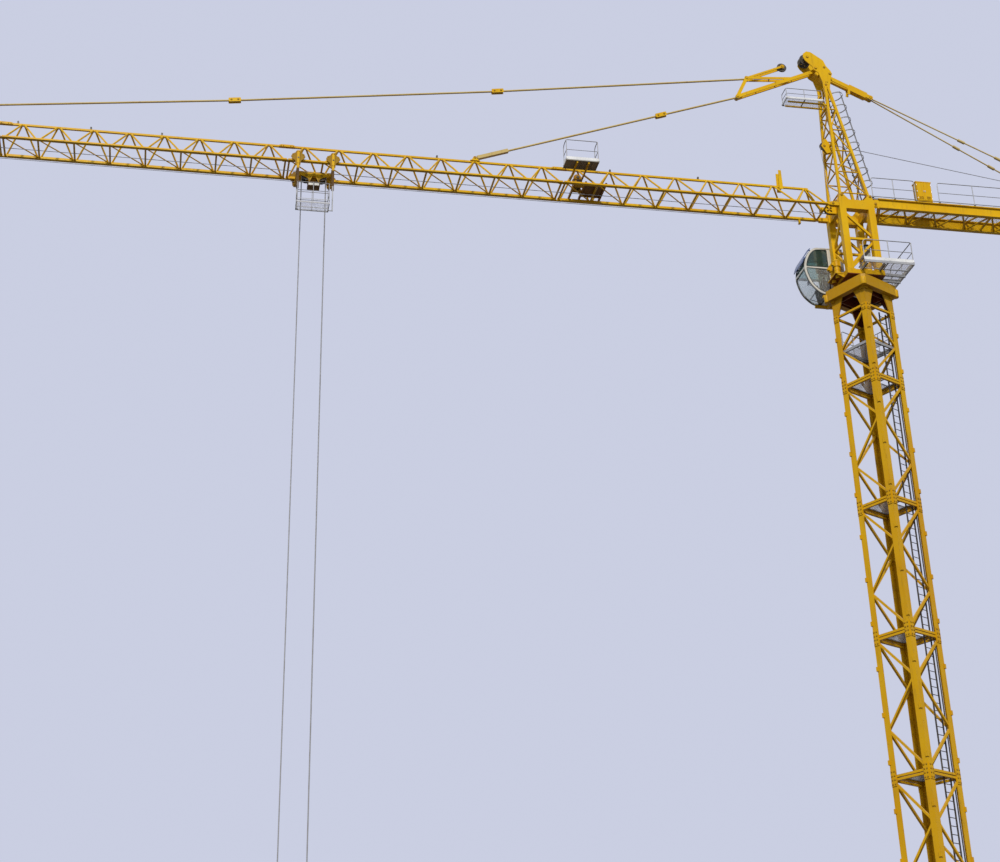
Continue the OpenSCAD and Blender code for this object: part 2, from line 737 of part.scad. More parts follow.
module tower_head() {
    bays = 5;
    t0 = 0.035;
    dt = (1 - t0)/bays;
    foot = column_w/2 - lug_t - seat;
    t_deck = (head_deck_z - 12 - head_foot_z)/(head_z - head_foot_z);
    color(yellow)
        union() {
            for (k = [0:3]) {
                bar(head_pt(k, 0), head_pt(k, 1.02), head_leg, aligned=true);
                f = head_pt(k, 0);
                box([f[0] - 34, f[1] - foot, beam_top + seat], [f[0] + 34, f[1] + foot, head_foot_z + 50]);
                n = (k + 1) % 4;
                for (b = [0:bays]) tube(head_pt(k, t0 + b*dt), head_pt(n, t0 + b*dt), 34);
                for (b = [0:bays - 1])
                    if (b % 2 == 0) tube(head_pt(k, t0 + b*dt), head_pt(n, t0 + (b + 1)*dt), 32);
                    else tube(head_pt(n, t0 + b*dt), head_pt(k, t0 + (b + 1)*dt), 32);
            }
            // arms that carry the front deck
            pd = head_pt(0, t_deck);
            box([pd[0] - 20, -228, head_deck_z - 40], [pd[0] + 20, -pd[1], head_deck_z - 4]);
            for (y = [-228, -56])
                box([-1180, y, head_deck_z - 28], [pd[0], y + 28, head_deck_z]);
            // beam and bracket of the hoist rope's upper pulley
            tp = (pulley[2] - head_foot_z)/(head_z - head_foot_z);
            fp = head_pt(0, tp);
            box([fp[0] - 24, fp[1], pulley[2] - 24], [fp[0] + 24, -fp[1], pulley[2] + 24]);
            for (y = [pulley[1] - 34, pulley[1] + 22])
                upright(y, 12)
                    polygon([[pulley[0] - 70, pulley[2]], [pulley[0] + 20, pulley[2] + 190],
                             [pulley[0] + 60, pulley[2] + 180], [fp[0] + 20, pulley[2] + 24],
                             [fp[0] + 20, pulley[2] - 150], [pulley[0] + 40, pulley[2] - 190]]);
            translate(pulley) rotate([90, 0, 0]) cylinder(r=pin_r, h=70, center=true, $fn=32);
            // feet that carry the ladder's rails
            for (b = [1:bays - 1], s = [-1, 1]) {
                p = (head_pt(2, t0 + b*dt) + head_pt(3, t0 + b*dt))/2 + [0, s*90, 0];
                bar(p, p + rear_norm*(ladder_off - 10 - seat), 16);
            }
            // cheek plates that carry the sheaves and the tie pins
            for (s = [-1, 1])
                upright(s*cheek_y - 9, 18)
                    translate([0, head_z])
                        polygon([[-300, -60], [-172, -60], [-110, 300], [-62, 440], [-90, 520], [-180, 640],
                                 [-235, 790], [-500, 985], [-600, 1000], [-680, 930], [-690, 830], [-650, 750],
                                 [-500, 600], [-480, 520], [-375, 440], [-310, 200]]);
            for (p = [head_pin, back_pin, head_sheave])
                translate(p) rotate([90, 0, 0]) cylinder(r=pin_r, h=2*cheek_y + 60, center=true, $fn=32);
            for (p = [[-230, 0, head_z + 600], [-240, 0, head_z + 130]])
                translate(p) rotate([90, 0, 0]) cylinder(r=24, h=2*cheek_y, center=true, $fn=32);
        }
}

// A grooved rope sheave that turns about Y, with spoke holes
module sheave(r, w=30) {
    rotate([90, 0, 0]) translate([0, 0, -w/2])
        difference() {
            rotate_extrude($fn=48)
                polygon([[pin_r + seat, -4], [pin_r + 18, -4], [pin_r + 18, 4], [r - 10, 4], [r - 10, 0],
                         [r + 16, 0], [r + 16, 4], [r + 2, w/2 - 8], [r, w/2 - 4], [r, w/2 + 4],
                         [r + 2, w/2 + 8], [r + 16, w - 4], [r + 16, w], [r - 10, w], [r - 10, w - 4],
                         [pin_r + 18, w - 4], [pin_r + 18, w + 4], [pin_r + seat, w + 4]]);
            for (j = [0:4]) rotate([0, 0, 72*j]) translate([(r + pin_r)/2 + 2, 0, -1])
                cylinder(r=(r - pin_r)*0.2, h=w + 2, $fn=16);
        }
}

root_sheave = [-tower_face - 110, -fall_y, jib_z + rope_z + sheave_r + rope_d/2 + seat];

module head_sheaves() {
    color(dark) {
        for (y = [-60, 60]) translate(head_sheave + [0, y, 0]) sheave(120);
        translate(arm_sheave) sheave(92);
        translate(root_sheave) sheave(sheave_r);
        translate(pulley) sheave(sheave_r);
    }
}

module head_platform() {
    z = head_deck_z + seat;
    y0 = -300;
    y1 = -8;
    x1 = -400;
    color(steel)
        union() {
            box([-1240, y0, z], [x1, y1, z + 22]);
            railing([[x1 - 12, y0 + 12], [-820, y0 + 12], [-1228, y0 + 12], [-1228, y1 - 12]],
                    z + 21, head_rail_h);
        }
}

module head_ladder() {
    a = (head_pt(2, 0.07) + head_pt(3, 0.07))/2 + rear_norm*ladder_off;
    b = (head_pt(2, 0.99) + head_pt(3, 0.99))/2 + rear_norm*ladder_off;
    n = 18;
    hoops = 8;
    tilt = atan2(rear_dir[0], rear_dir[2]);
    color(steel)
        union() {
            for (s = [-1, 1]) bar(a + [0, s*90, 0], b + [0, s*90, 0], 20);
            for (i = [1:n]) tube(a + (b - a)*i/(n + 1) - [0, 90, 0], a + (b - a)*i/(n + 1) + [0, 90, 0], 14);
            // safety hoops, their ends on the rails, and the straps that join them
            for (i = [1:hoops]) {
                for (s = [-1, 1])
                    translate(a + (b - a)*(0.12 + 0.86*(i - 1)/(hoops - 1))) rotate([0, tilt, 0])
                        translate([-9, s > 0 ? 82 : -132, -12]) cube([10, 50, 24]);
                translate(a + (b - a)*(0.12 + 0.86*(i - 1)/(hoops - 1))) rotate([0, tilt, 0])
                    translate([120, 0, -12]) difference() {
                        cylinder(r=180, h=24, $fn=48);
                        translate([0, 0, -1]) cylinder(r=174, h=26, $fn=48);
                        translate([-200, -200, -1]) cube([75, 400, 26]);
                    }
            }
            for (w = [-70, 0, 70])
                translate(rear_norm*(120 + 177*cos(w)) + [0, 177*sin(w), 0])
                    bar(a + (b - a)*0.11, a + (b - a)*0.99, 9);
        }
}

// Ties

// A plate link between pins a and b, drawn in its own plane
module link(a, b, w) {
    strip([a[0], a[2]], [b[0], b[2]], w);
}

// Round ends of the links, with the pins' bores
module link_eye(p, r) {
    translate([p[0], p[2]]) circle(r=r, $fn=32);
}

module link_bore(p, r) {
    translate([p[0], p[2]]) circle(r=r, $fn=32);
}

module tie_linkage() {
    ys = link_gap/2;
    color(yellow)
        union() {
            for (y = [ys, -ys - link_t]) {
                // front frame: two arms, a spreader and the sheave's stay
                upright(y, link_t)
                    difference() {
                        union() {
                            link(head_pin*0.72 + inner_pin*0.28, outer_pin, 56);
                            link(head_pin, inner_pin, 80);
                            link(outer_pin, inner_pin, 74);
                            link(outer_pin, arm_sheave, 46);
                            for (p = [head_pin, outer_pin, inner_pin, arm_sheave]) link_eye(p, 48);
                        }
                        link_bore(head_pin, pin_r + seat);
                    }
                // rear frame
                upright(y, link_t)
                    difference() {
                        union() {
                            link(back_pin, counter_pin, 96);
                            link(back_pin*0.52 + counter_pin*0.48, back_pin*0.1 + counter_pin*0.9, 150);
                            link(back_pin*0.5 + counter_pin*0.5, back_pin*0.5 + counter_pin*0.5 + [-30, 0, -190], 56);
                            for (p = [back_pin, counter_pin]) link_eye(p, 56);
                        }
                        link_bore(back_pin, pin_r + seat);
                    }
            }
            for (p = [outer_pin, inner_pin, arm_sheave, counter_pin])
                translate(p) rotate([90, 0, 0])
                    cylinder(r=pin_r, h=link_gap + 2*link_t + 20, center=true, $fn=32);
            // spacers that hold the two sides of each link apart
            for (p = [head_pin*0.72 + inner_pin*0.28, head_pin*0.36 + inner_pin*0.14 + outer_pin/2,
                      (head_pin + inner_pin)/2, (head_pin + inner_pin*3)/4, (back_pin + counter_pin)/2,
                      back_pin/4 + counter_pin*3/4])
                translate(p) rotate([90, 0, 0]) cylinder(r=12, h=link_gap + 2, center=true, $fn=24);
        }
}

// A tie rod from pin a to pin b with forged eyes and couplings at the given fractions
// A tie of straight bars that meet in couplings and sag together, with an eye at each end
module tie_rod(a, b, couplings, w, sag=0) {
    t = concat([0], couplings, [1]);
    p = [for (k = t) a + (b - a)*k - [0, 0, 4*sag*k*(1 - k)]];
    n = len(p) - 1;
    difference() {
        union() {
            for (k = [0:n - 1]) {
                v = (p[k + 1] - p[k])/norm(p[k + 1] - p[k]);
                rod(p[k] + (k == 0 ? v*30 : -v*10), p[k + 1] + (k == n - 1 ? -v*30 : v*10), tie_d);
                if (k > 0) rod(p[k] - v*95, p[k] + v*95, tie_d*1.8);
            }
            for (e = [a, b]) translate(e) rotate([90, 0, 0]) cylinder(r=pin_r + 22, h=w, center=true, $fn=32);
        }
        for (e = [a, b]) translate(e) rotate([90, 0, 0])
            cylinder(r=pin_r + seat, h=w + 2, center=true, $fn=32);
    }
}

module jib_ties() {
    w = link_gap - 2*seat;
    lw = 60;
    link_l = 760;
    v = (inner_foot - inner_pin)/norm(inner_foot - inner_pin);
    plate = inner_foot - v*link_l;
    color(yellow) {
        tie_rod(outer_pin, outer_foot, [0.294, 0.588, 0.882], lw, tie_sag);
        union() {
            tie_rod(inner_pin, inner_foot, [0.3], lw);
            bar(plate, inner_foot - v*60, tie_d*1.8);
        }
    }
}

module counter_ties() {
    color(yellow)
        for (s = [-1, 1]) {
            a = counter_pin + [0, s*22, 0];
            b = [counter_foot_x, s*(girder_gauge/2), counter_foot_z];
            v = (b - a)/norm(b - a);
            difference() {
                union() {
                    rod(a + v*24, b - v*24, tie_d*0.7);
                    translate(a) rotate([90, 0, 0]) cylinder(r=pin_r + 20, h=36, center=true, $fn=32);
                    translate(b) rotate([90, 0, 0]) cylinder(r=pin_r + 20, h=44, center=true, $fn=32);
                    for (c = [0.374, 0.523]) rod(a + (b - a)*c - v*80, a + (b - a)*c + v*80, tie_d*1.5);
                }
                for (p = [a, b]) translate(p) rotate([90, 0, 0])
                    cylinder(r=pin_r + seat, h=60, center=true, $fn=32);
            }
        }
}

// Two lug plates with a pin for a tie's eye, standing on a member's top at [x, y, z]
module tie_lug(x, y, z, rise, gap) {
    box([x - 100, y - gap/2 - 14, z - 2], [x + 100, y + gap/2 + 14, z + 10]);
    for (u = [y + gap/2, y - gap/2 - 14])
        upright(u, 14) {
            polygon([[x - 90, z - 2], [x + 90, z - 2], [x + 32, z + rise], [x - 32, z + rise]]);
            translate([x, z + rise]) circle(r=34, $fn=32);
        }
    translate([x, y, z + rise]) rotate([90, 0, 0])
        cylinder(r=pin_r, h=gap + 44, center=true, $fn=32);
}

// Jib

// One section of jib, n panels long, that starts x from the tower's axis
module jib_section(x, n, root=false, tip=false) {
    l = n*panel;
    color(yellow)
        difference() {
            union() {
                for (s = [-1, 1]) {
                    box([-x - l, s*half_w - c2, jib_z - c2], [-x, s*half_w + c2, jib_z + c2]);
                    // running ledge of the trolley
                    box([-x - l - (tip ? 0 : joint_gap/2 - 1), s > 0 ? half_w + c2 - 3 : -ledge_y, jib_z - c2],
                        [-x + (root ? -40 : joint_gap/2 - 1), s > 0 ? ledge_y : -half_w - c2 + 3, jib_z + ledge_z]);
                    if (root)
                        box([-x - 60, s*half_w - 22, jib_z - 30], [-jib_root + 120, s*half_w + 22, jib_z + 30]);
                }
                box([-x - l + (tip ? panel/2 - 60 : 0), -t2, jib_top - t2],
                    [-x - (root ? panel/2 - 60 : 0), t2, jib_top + t2]);
                for (k = [0:n]) {
                    xe = k == 0 ? x + c2 : k == n ? x + l - c2 : x + k*panel;
                    tube([-xe, -half_w, jib_z], [-xe, half_w, jib_z], lacing*1.1);
                }
                for (k = [0:n - 1]) {
                    xa = -x - k*panel - (k == 0 ? c2 : 0);
                    xm = -x - (k + 0.5)*panel;
                    xb = -x - (k + 1)*panel + (k == n - 1 ? c2 : 0);
                    tube([xb, -half_w, jib_z], [xa, half_w, jib_z], lacing*0.7);
                    for (s = [-1, 1]) {
                        tube([xa - 30, s*half_w, jib_z], [xm + 23, s*13, jib_top], lacing);
                        tube([xb + 30, s*half_w, jib_z], [xm - 23, s*13, jib_top], lacing);
                    }
                }
                // bracket that holds the haul rope's end
                if (tip)
                    box([-tip_end + 20, half_w - 16, jib_z + haul_z - 14], [-tip_end + 60 - seat, half_w + 16, jib_z - c2 + 1]);
                // plates that join this section to the next
                if (!tip) {
                    for (s = [-1, 1]) {
                        box([-x - l - joint_gap - 90, s*half_w - c2 + 5, jib_z - c2 - seat - 12],
                            [-x - l + 90, s*half_w + c2 - 5, jib_z - c2 - seat]);
                        box([-x - l + 1, s*half_w - c2 + 5, jib_z - c2 - seat - 6],
                            [-x - l + 90, s*half_w + c2 - 5, jib_z - c2 + 2]);
                    }
                    for (s = [-1, 1])
                        upright(s > 0 ? t2 + seat : -t2 - seat - 12, 12)
                            polygon([[-x - l - joint_gap - 150, jib_top - t2 + 4], [-x - l + 150, jib_top - t2 + 4],
                                     [-x - l + 150, jib_top + t2 - 2], [-x - l + 110, jib_top + t2 + 14],
                                     [-x - l - joint_gap - 110, jib_top + t2 + 14],
                                     [-x - l - joint_gap - 150, jib_top + t2 - 2]]);
                    box([-x - l - joint_gap + 4, -t2 - seat - 11, jib_top - t2 + 8], [-x - l + 1, t2 + seat + 11, jib_top + t2 - 8]);
                }
                if (root) {
                    // the top chord comes down to the root in a strut
                    bar([-x - panel/2 - 10, 0, jib_top], [-x - 45, 0, jib_z + 40], top_chord);
                    box([-x - 62, -70, jib_z - 10], [-x - 10, 70, jib_z + 75]);
                    // hanger of the guide roller under the far chord
                    box([guide_x - 20, half_w - 16, jib_z + haul_z - 56], [guide_x + 20, half_w + 16, jib_z - c2 + 1]);
                    translate([guide_x, half_w, jib_z + haul_z - 34]) rotate([90, 0, 0])
                        cylinder(r=22, h=72, center=true, $fn=32);
                    // outriggers that carry the winch platform
                    for (u = [-122, 122])
                        box([-winch_bay + u - 15, -half_w - c2 - 240, jib_z + 335],
                            [-winch_bay + u + 15, half_w*0.38, jib_z + 375]);
                }
                if (x == section_x(4)) tie_lug(outer_foot[0], 0, jib_top + t2, lug_h, 62);
                if (x == section_x(2)) tie_lug(inner_foot[0], 0, jib_top + t2, lug_h, 62);
                // fork on the first section where the tie rests when it is let down
                if (root) {
                    for (s = [-1, 1])
                        upright(s*fork_y - 6, 12)
                            polygon([[fork_x - 42, jib_top - 90], [fork_x + 42, jib_top - 90],
                                     [fork_x + 30, jib_top + fork_h], [fork_x - 30, jib_top + fork_h]]);
                    for (z = [jib_top - t2 - 30, jib_top + t2 - 1])
                        box([fork_x - 28, -fork_y, z], [fork_x + 28, fork_y, z + 31]);
                }
            }
            if (root)
                for (s = [-1, 1]) translate([-jib_root + 70, s*half_w, jib_z]) rotate([90, 0, 0])
                    cylinder(r=pin_r, h=90, center=true, $fn=32);
        }
}

module jib_tip() {
    jib_section(section_x(5), tip_panels, tip=true);
}

winch_bay = section_x(1) + 7.5*panel;
guide_x = -1010;
haul_z = -78;
// fork that holds the tie when it is let down
fork_x = -1500;
fork_y = 75;
fork_h = 385;

module trolley_winch() {
    w = half_w + 5;
    z0 = jib_z + c2 + seat;
    color(dark)
        union() {
            // frame across the bottom chords
            for (x = [-winch_bay - 130, -winch_bay + 90])
                box([x, -w, z0], [x + 40, w, z0 + 40]);
            for (s = [-1, 1])
                upright(s*95 - 8, 16)
                    polygon([[-winch_bay - 130, z0 + 30], [-winch_bay + 130, z0 + 30],
                             [-winch_bay + 40, jib_z + 372], [-winch_bay - 40, jib_z + 372]]);
            // cover plate behind the drum and the beam under its end
            box([-winch_bay + 100, -half_w + 80, z0 + 28], [-winch_bay + 560, half_w - 80, z0 + 40]);
            box([-winch_bay + 520, -w, z0], [-winch_bay + 560, w, z0 + 40]);
            // upper drum with its flanges, lower gear motor
            translate([-winch_bay, 0, jib_z + 310]) rotate([90, 0, 0]) {
                cylinder(r=62, h=180, center=true, $fn=48);
                for (s = [-1, 1]) translate([0, 0, s*70]) cylinder(r=86, h=10, center=true, $fn=48);
            }
            translate([-winch_bay, 0, jib_z + 165]) rotate([90, 0, 0])
                cylinder(r=66, h=176, center=true, $fn=48);
        }
}

module winch_platform() {
    x0 = -winch_bay - 350;
    z = jib_z + 375 + seat;
    y = -half_w - c2;
    l = 680;
    w = 330;
    color(steel)
        union() {
            box([x0 - 10, y + 70 - w, z], [x0 + l + 10, y + 70, z + 22]);
            railing([[x0, y + 8], [x0, y + 82 - w], [x0 + l/2, y + 82 - w], [x0 + l, y + 82 - w],
                     [x0 + l, y + 8]], z + 21);
        }
}

// Counter-jib

module counter_jib() {
    g = girder_gauge/2;
    x0 = tower_face + 30;
    xe = ballast_x - 20;
    n = round((xe - x0)/330);
    p = (xe - x0)/n;
    color(yellow)
        difference() {
            union() {
                for (s = [-1, 1]) {
                    box([x0 - 6, s*g - 7, jib_z + 6], [counter_l, s*g + 7, jib_z + girder_h - 6]);
                    box([x0 + 110, s*g - 45, jib_z], [counter_l, s*g + 45, jib_z + 20]);
                    box([x0 + 110, s*g - 45, jib_z + girder_h - 20], [counter_l, s*g + 45, jib_z + girder_h]);
                    tie_lug(counter_foot_x, s*g, jib_z + girder_h, counter_foot_z - jib_z - girder_h, 46);
                }
                // end frame behind the ballast
                box([counter_l - 20, -g, jib_z + 2], [counter_l - 2, g, jib_z + girder_h - 2]);
                for (k = [3 : 5 : n])
                    box([x0 + k*p - 18, -g, jib_z + 22], [x0 + k*p + 18, g, jib_z + 58]);
                for (z = [jib_z + 30, jib_z + girder_h - 50]) translate([0, 0, z]) linear_extrude(height=22)
                    for (k = [0:n - 1]) {
                        s = k % 2 == 0 ? 1 : -1;
                        strip([x0 + k*p + (k == 0 ? 130 : 0), -s*g], [x0 + (k + 1)*p, s*g], 34);
                    }
            }
            for (s = [-1, 1]) translate([tower_face + 60, s*g, jib_z + 90]) rotate([90, 0, 0])
                cylinder(r=pin_r, h=30, center=true, $fn=32);
        }
}

drum_h = 300;
drum_r = 150;
drum_z = jib_z + girder_h + seat + drum_h;
cabinet_x = tower_face + 1025;
cabinet_l = 330;
cabinet_w = 160;
walk_x0 = tower_face + 8;

module counter_walkway() {
    g = girder_gauge/2;
    z = jib_z + girder_h + seat;
    x1 = counter_foot_x - 100;
    nb = round((cabinet_x - 40 - walk_x0)/520);
    na = round((x1 - cabinet_x - cabinet_l - 150)/780);
    color(steel)
        union() {
            box([walk_x0, -g - 60, z], [x1, g + 60, z + 16]);
            railing([for (i = [0:nb]) [walk_x0 + 12 + i*(cabinet_x - 52 - walk_x0)/nb, -g - 46]], z + 15);
            railing([for (i = [0:na]) [cabinet_x + cabinet_l + 150 + i*(x1 - 12 - cabinet_x - cabinet_l - 150)/na, -g - 46]], z + 15);
            railing([for (i = [0:nb + na]) [walk_x0 + 12 + i*(x1 - 24 - walk_x0)/(nb + na), g + 46]], z + 15);
        }
}

module electric_cabinet() {
    g = girder_gauge/2;
    z = jib_z + girder_h + 16 + 2*seat;
    color(yellow)
        union() {
            box([cabinet_x, -g - 50, z], [cabinet_x + cabinet_l, -g - 50 + cabinet_w, z + 470]);
            box([cabinet_x - 12, -g - 58, z + 469], [cabinet_x + cabinet_l + 12, -g - 38 + cabinet_w, z + 490]);
        }
}

module hoist_winch() {
    z = jib_z + girder_h + seat;
    g = girder_gauge/2;
    color(dark)
        translate([winch_x, 0, z])
            union() {
                for (y = [-g - 40, g - 40]) box([-260, y, 0], [600, y + 80, 40]);
                for (x = [-260, 40, 300, 540]) box([x, -g, 2], [x + 60, g, 38]);
                // drum between its bearings, and its motor
                translate([100, 0, drum_h]) rotate([90, 0, 0]) {
                    cylinder(r=drum_r, h=470, center=true, $fn=48);
                    for (s = [-1, 1]) translate([0, 0, s*185]) cylinder(r=drum_r + 42, h=14, center=true, $fn=48);
                }
                for (y = [-245, 225])
                    upright(y, 20)
                        polygon([[-60, 30], [260, 30], [170, drum_h + 100], [30, drum_h + 100]]);
                box([340, -220, 36], [570, 220, 170]);
                translate([450, 0, 255]) rotate([90, 0, 0]) cylinder(r=95, h=420, center=true, $fn=48);
            }
}

module counterweights() {
    g = girder_gauge/2;
    w = g - 45 - 14;
    color([0.62, 0.61, 0.58])
        for (i = [0:ballast_count - 1])
            translate([ballast_x + i*(ballast_t + ballast_gap), 0, jib_z])
                rotate([90, 0, 90]) linear_extrude(height=ballast_t)
                    polygon([[-w, -900], [w, -900], [w, girder_h + seat], [g + 50, girder_h + seat],
                             [g + 50, girder_h + 90], [-g - 50, girder_h + 90], [-g - 50, girder_h + seat],
                             [-w, girder_h + seat]]);
}

// Point where a line from p touches the top of a circle about c in the XZ plane
function tangent(c, p, r) =
    let (d = p - c, a = atan2(d[2], d[0]) + acos(r/norm(d)))
    c + r*[cos(a), 0, sin(a)];

module jib_ropes() {
    z = jib_z + rope_z;
    y = -fall_y;
    color(steel) {
        // the run under the jib, from the root sheave to the jib's tip
        tube([root_sheave[0], y, z], [-tip_end + 60, y, z], rope_d, 8);
        // the haul rope's lower run under the far chord, over its guide roller
        tube([guide_x - 20 - seat, half_w, jib_z + haul_z], [-tip_end + 60, half_w, jib_z + haul_z], rope_d*0.8, 8);
        // up to the head's pulley and back to the winch drum
        r = sheave_r + rope_d/2 + seat;
        tube(root_sheave + [r, 0, 0], pulley + [-r, 0, 0], rope_d, 8);
        drum = [winch_x + 100, y, drum_z + drum_r + rope_d/2 + seat];
        tube(tangent(pulley, drum, r), drum, rope_d, 8);
    }
}

// Trolley and hook

side_y = ledge_y + pass;
side_t = 16;
wheel_r = 30;
wheel_z = ledge_z + run_gap + wheel_r;
post_dx = trolley_l/2 - 92;
wheel_dx = post_dx;
beam_z = [-152, -106];
near_post_l = 712;

// Rounded plate that holds one wheel and joins its post
module wheel_plate() {
    polygon([[-46, -150], [46, -150], [60, -40], [118, 4], [146, 60], [120, 120], [60, 150], [40, 196],
             [-40, 196], [-60, 150], [-120, 120], [-146, 60], [-118, 4], [-60, -40]]);
}

module trolley_frame() {
    tx = -trolley_x;
    bz = jib_z;
    color(yellow)
        difference() {
            union() {
                for (s = [-1, 1], x = [-post_dx, post_dx]) {
                    // wheel plates outside the ledges
                    upright(s > 0 ? side_y : -side_y - side_t, side_t)
                        translate([tx + x, bz]) wheel_plate();
                    // posts with an arm that reaches over the chord
                    box([tx + x - 26, s > 0 ? side_y + side_t - 1 : -side_y - side_t - 31,
                         bz - (s < 0 ? near_post_l : 150)],
                        [tx + x + 26, s > 0 ? side_y + side_t + 31 : -side_y - side_t + 1, bz + 190]);
                    box([tx + x - 14, s > 0 ? half_w + 16 : -side_y - side_t - 10, bz + c2 + 30],
                        [tx + x + 14, s > 0 ? side_y + side_t + 10 : -half_w - 16, bz + c2 + 60]);
                }
                for (x = [-post_dx - 18, post_dx - 18])
                    box([tx + x, -side_y - 2, bz + beam_z[0] + 4], [tx + x + 36, side_y + 2, bz + beam_z[1]]);
                // beam along the middle
                box([tx - post_dx - 18, -20, bz + beam_z[0] + 8], [tx + post_dx + 18, 20, bz - 34]);
                // plates that carry the sheaves
                for (y = [-fall_y - 26 - 10, -fall_y + 26, fall_y - 26 - 10, fall_y + 26])
                    upright(y, 10)
                        polygon([[tx - post_dx, bz + beam_z[1] - 4], [tx - post_dx, bz + beam_z[0]],
                                 [tx - sheave_x - 30, bz + sheave_z - 40], [tx - 126, bz - 250],
                                 [tx - 110, bz - 342], [tx + 110, bz - 342], [tx + 126, bz - 250],
                                 [tx + sheave_x + 30, bz + sheave_z - 40],
                                 [tx + post_dx, bz + beam_z[0]], [tx + post_dx, bz + beam_z[1] - 4]]);
                for (x = [-sheave_x, sheave_x])
                    translate([tx + x, 0, bz + sheave_z]) rotate([90, 0, 0])
                        cylinder(r=pin_r, h=2*fall_y + 90, center=true, $fn=32);
                // frame in front of the sheaves
                upright(-fall_y - 48, 13) {
                    strip([tx + 4, bz + beam_z[1] + 24], [tx - 104, bz - 338], 24);
                    strip([tx - 4, bz + beam_z[1] + 24], [tx + 104, bz - 338], 24);
                }
                // stop box under the sheaves
                difference() {
                    box([tx - 126, -fall_y - 36, bz - 418], [tx + 126, fall_y + 36, bz - 338]);
                    for (x = [-114, 8]) box([tx + x, -fall_y - 40, bz - 406], [tx + x + 106, fall_y + 40, bz - 350]);
                }
            }
            for (y = [-fall_y, fall_y]) upright(y - 40, 80)
                polygon([[tx - 70, bz - 190], [tx + 70, bz - 190], [tx + 92, bz - 310], [tx - 92, bz - 310]]);
            for (x = [-wheel_dx, wheel_dx]) translate([tx + x, 0, bz + wheel_z]) rotate([90, 0, 0])
                cylinder(r=10 + seat, h=3*ledge_y, center=true, $fn=24);
        }
}

module trolley_rollers() {
    pin_l = side_y + side_t + 31 + seat - half_w - c2 - 6;
    color(dark) {
        // running wheels on the ledges
        for (x = [-trolley_x - wheel_dx, -trolley_x + wheel_dx], s = [-1, 1])
            translate([x, s*(half_w + c2 + 6), jib_z + wheel_z]) rotate([s > 0 ? -90 : 90, 0, 0])
                union() {
                    cylinder(r=wheel_r, h=ledge_w - 8, $fn=32);
                    cylinder(r=10, h=pin_l, $fn=24);
                    translate([0, 0, pin_l]) cylinder(r=16, h=8, $fn=24);
                }
        // rope sheaves
        for (x = [-sheave_x, sheave_x], y = [-fall_y, fall_y])
            translate([-trolley_x + x, y, jib_z + sheave_z]) sheave(sheave_r);
    }
}

basket_y0 = -side_y - side_t + 20;
basket_w = 320;
basket_l = 664;
basket_z = -1215;

module trolley_basket() {
    y1 = basket_y0;
    y0 = y1 - basket_w;
    z = jib_z + basket_z;
    x = -trolley_x - 50;
    h = rail_h - 10;
    ph = side_y + side_t + 31 + seat;
    color(steel)
        union() {
            box([x - basket_l/2, y0, z], [x + basket_l/2, y1, z + 18]);
            for (u = [x - basket_l/2 + 12, x, x + basket_l/2 - 12], v = [y0 + 12, y1 - 12])
                tube([u, v, z + 2], [u, v, z + h], rail_d*0.6);
            for (k = [h, h*0.5]) {
                for (v = [y0 + 12, y1 - 12])
                    tube([x - basket_l/2 + 12, v, z + k], [x + basket_l/2 - 12, v, z + k], rail_d*0.6);
                for (u = [x - basket_l/2 + 12, x + basket_l/2 - 12])
                    tube([u, y0 + 12, z + k], [u, y1 - 12, z + k], rail_d*0.6);
            }
            // straps from the trolley's posts
            for (s = [-1, 1])
                box([s*post_dx - trolley_x - 12, -ph - 14, z + 2],
                    [s*post_dx - trolley_x + 12, -ph, jib_z - near_post_l + 90]);
            for (s = [-1, 1])
                box([s > 0 ? x + basket_l/2 - 20 : x - basket_l/2, -ph - 14, z],
                    [s > 0 ? post_dx - trolley_x + 12 : x - basket_l/2 + 40, -ph, z + 18]);
        }
}

module rope_falls() {
    z1 = jib_z + sheave_z;
    color(steel)
        for (x = [-1, 1], y = [-1, 1])
            tube([-trolley_x + x*fall_x, y*fall_y, z1 - fall_l], [-trolley_x + x*fall_x, y*fall_y, z1],
                 rope_d, 8);
}

// The hook's side outline about its eye, opening towards -X
module hook_outline() {
    difference() {
        union() {
            circle(r=105, $fn=48);
            polygon([[-24, 40], [24, 40], [30, 190], [-30, 190]]);
            translate([62, 40]) circle(r=44, $fn=32);
        }
        translate([-6, 6]) circle(r=56, $fn=48);
        polygon([[-200, 20], [-40, 6], [-26, 46], [-30, 190], [-200, 190]]);
    }
}

module hook_block() {
    zh = jib_z + sheave_z - fall_l;
    tx = -trolley_x;
    color(yellow)
        union() {
            for (y = [-fall_y - 36, -fall_y + 26, fall_y - 36, fall_y + 26])
                upright(y, 10)
                    polygon([[tx - 270, zh + 50], [tx + 270, zh + 50], [tx + 290, zh - 30],
                             [tx + 110, zh - 210], [tx - 110, zh - 210], [tx - 290, zh - 30]]);
            for (x = [-sheave_x, sheave_x]) translate([tx + x, 0, zh]) rotate([90, 0, 0]) {
                cylinder(r=pin_r, h=2*fall_y + 92, center=true, $fn=32);
                for (y = [-fall_y, fall_y]) translate([0, 0, y]) {
                    cylinder(r=sheave_r, h=30, center=true, $fn=48);
                    for (w = [-13, 13]) translate([0, 0, w]) cylinder(r=flange_r, h=4, center=true, $fn=48);
                }
            }
            box([tx - 90, -fall_y - 34, zh - 208], [tx + 90, fall_y + 34, zh - 150]);
            translate([tx, 0, zh - 290]) cylinder(r=58, h=90, $fn=48);
            translate([0, 0, zh - 440]) upright(-28, 56) translate([tx, 0]) hook_outline();
        }
}

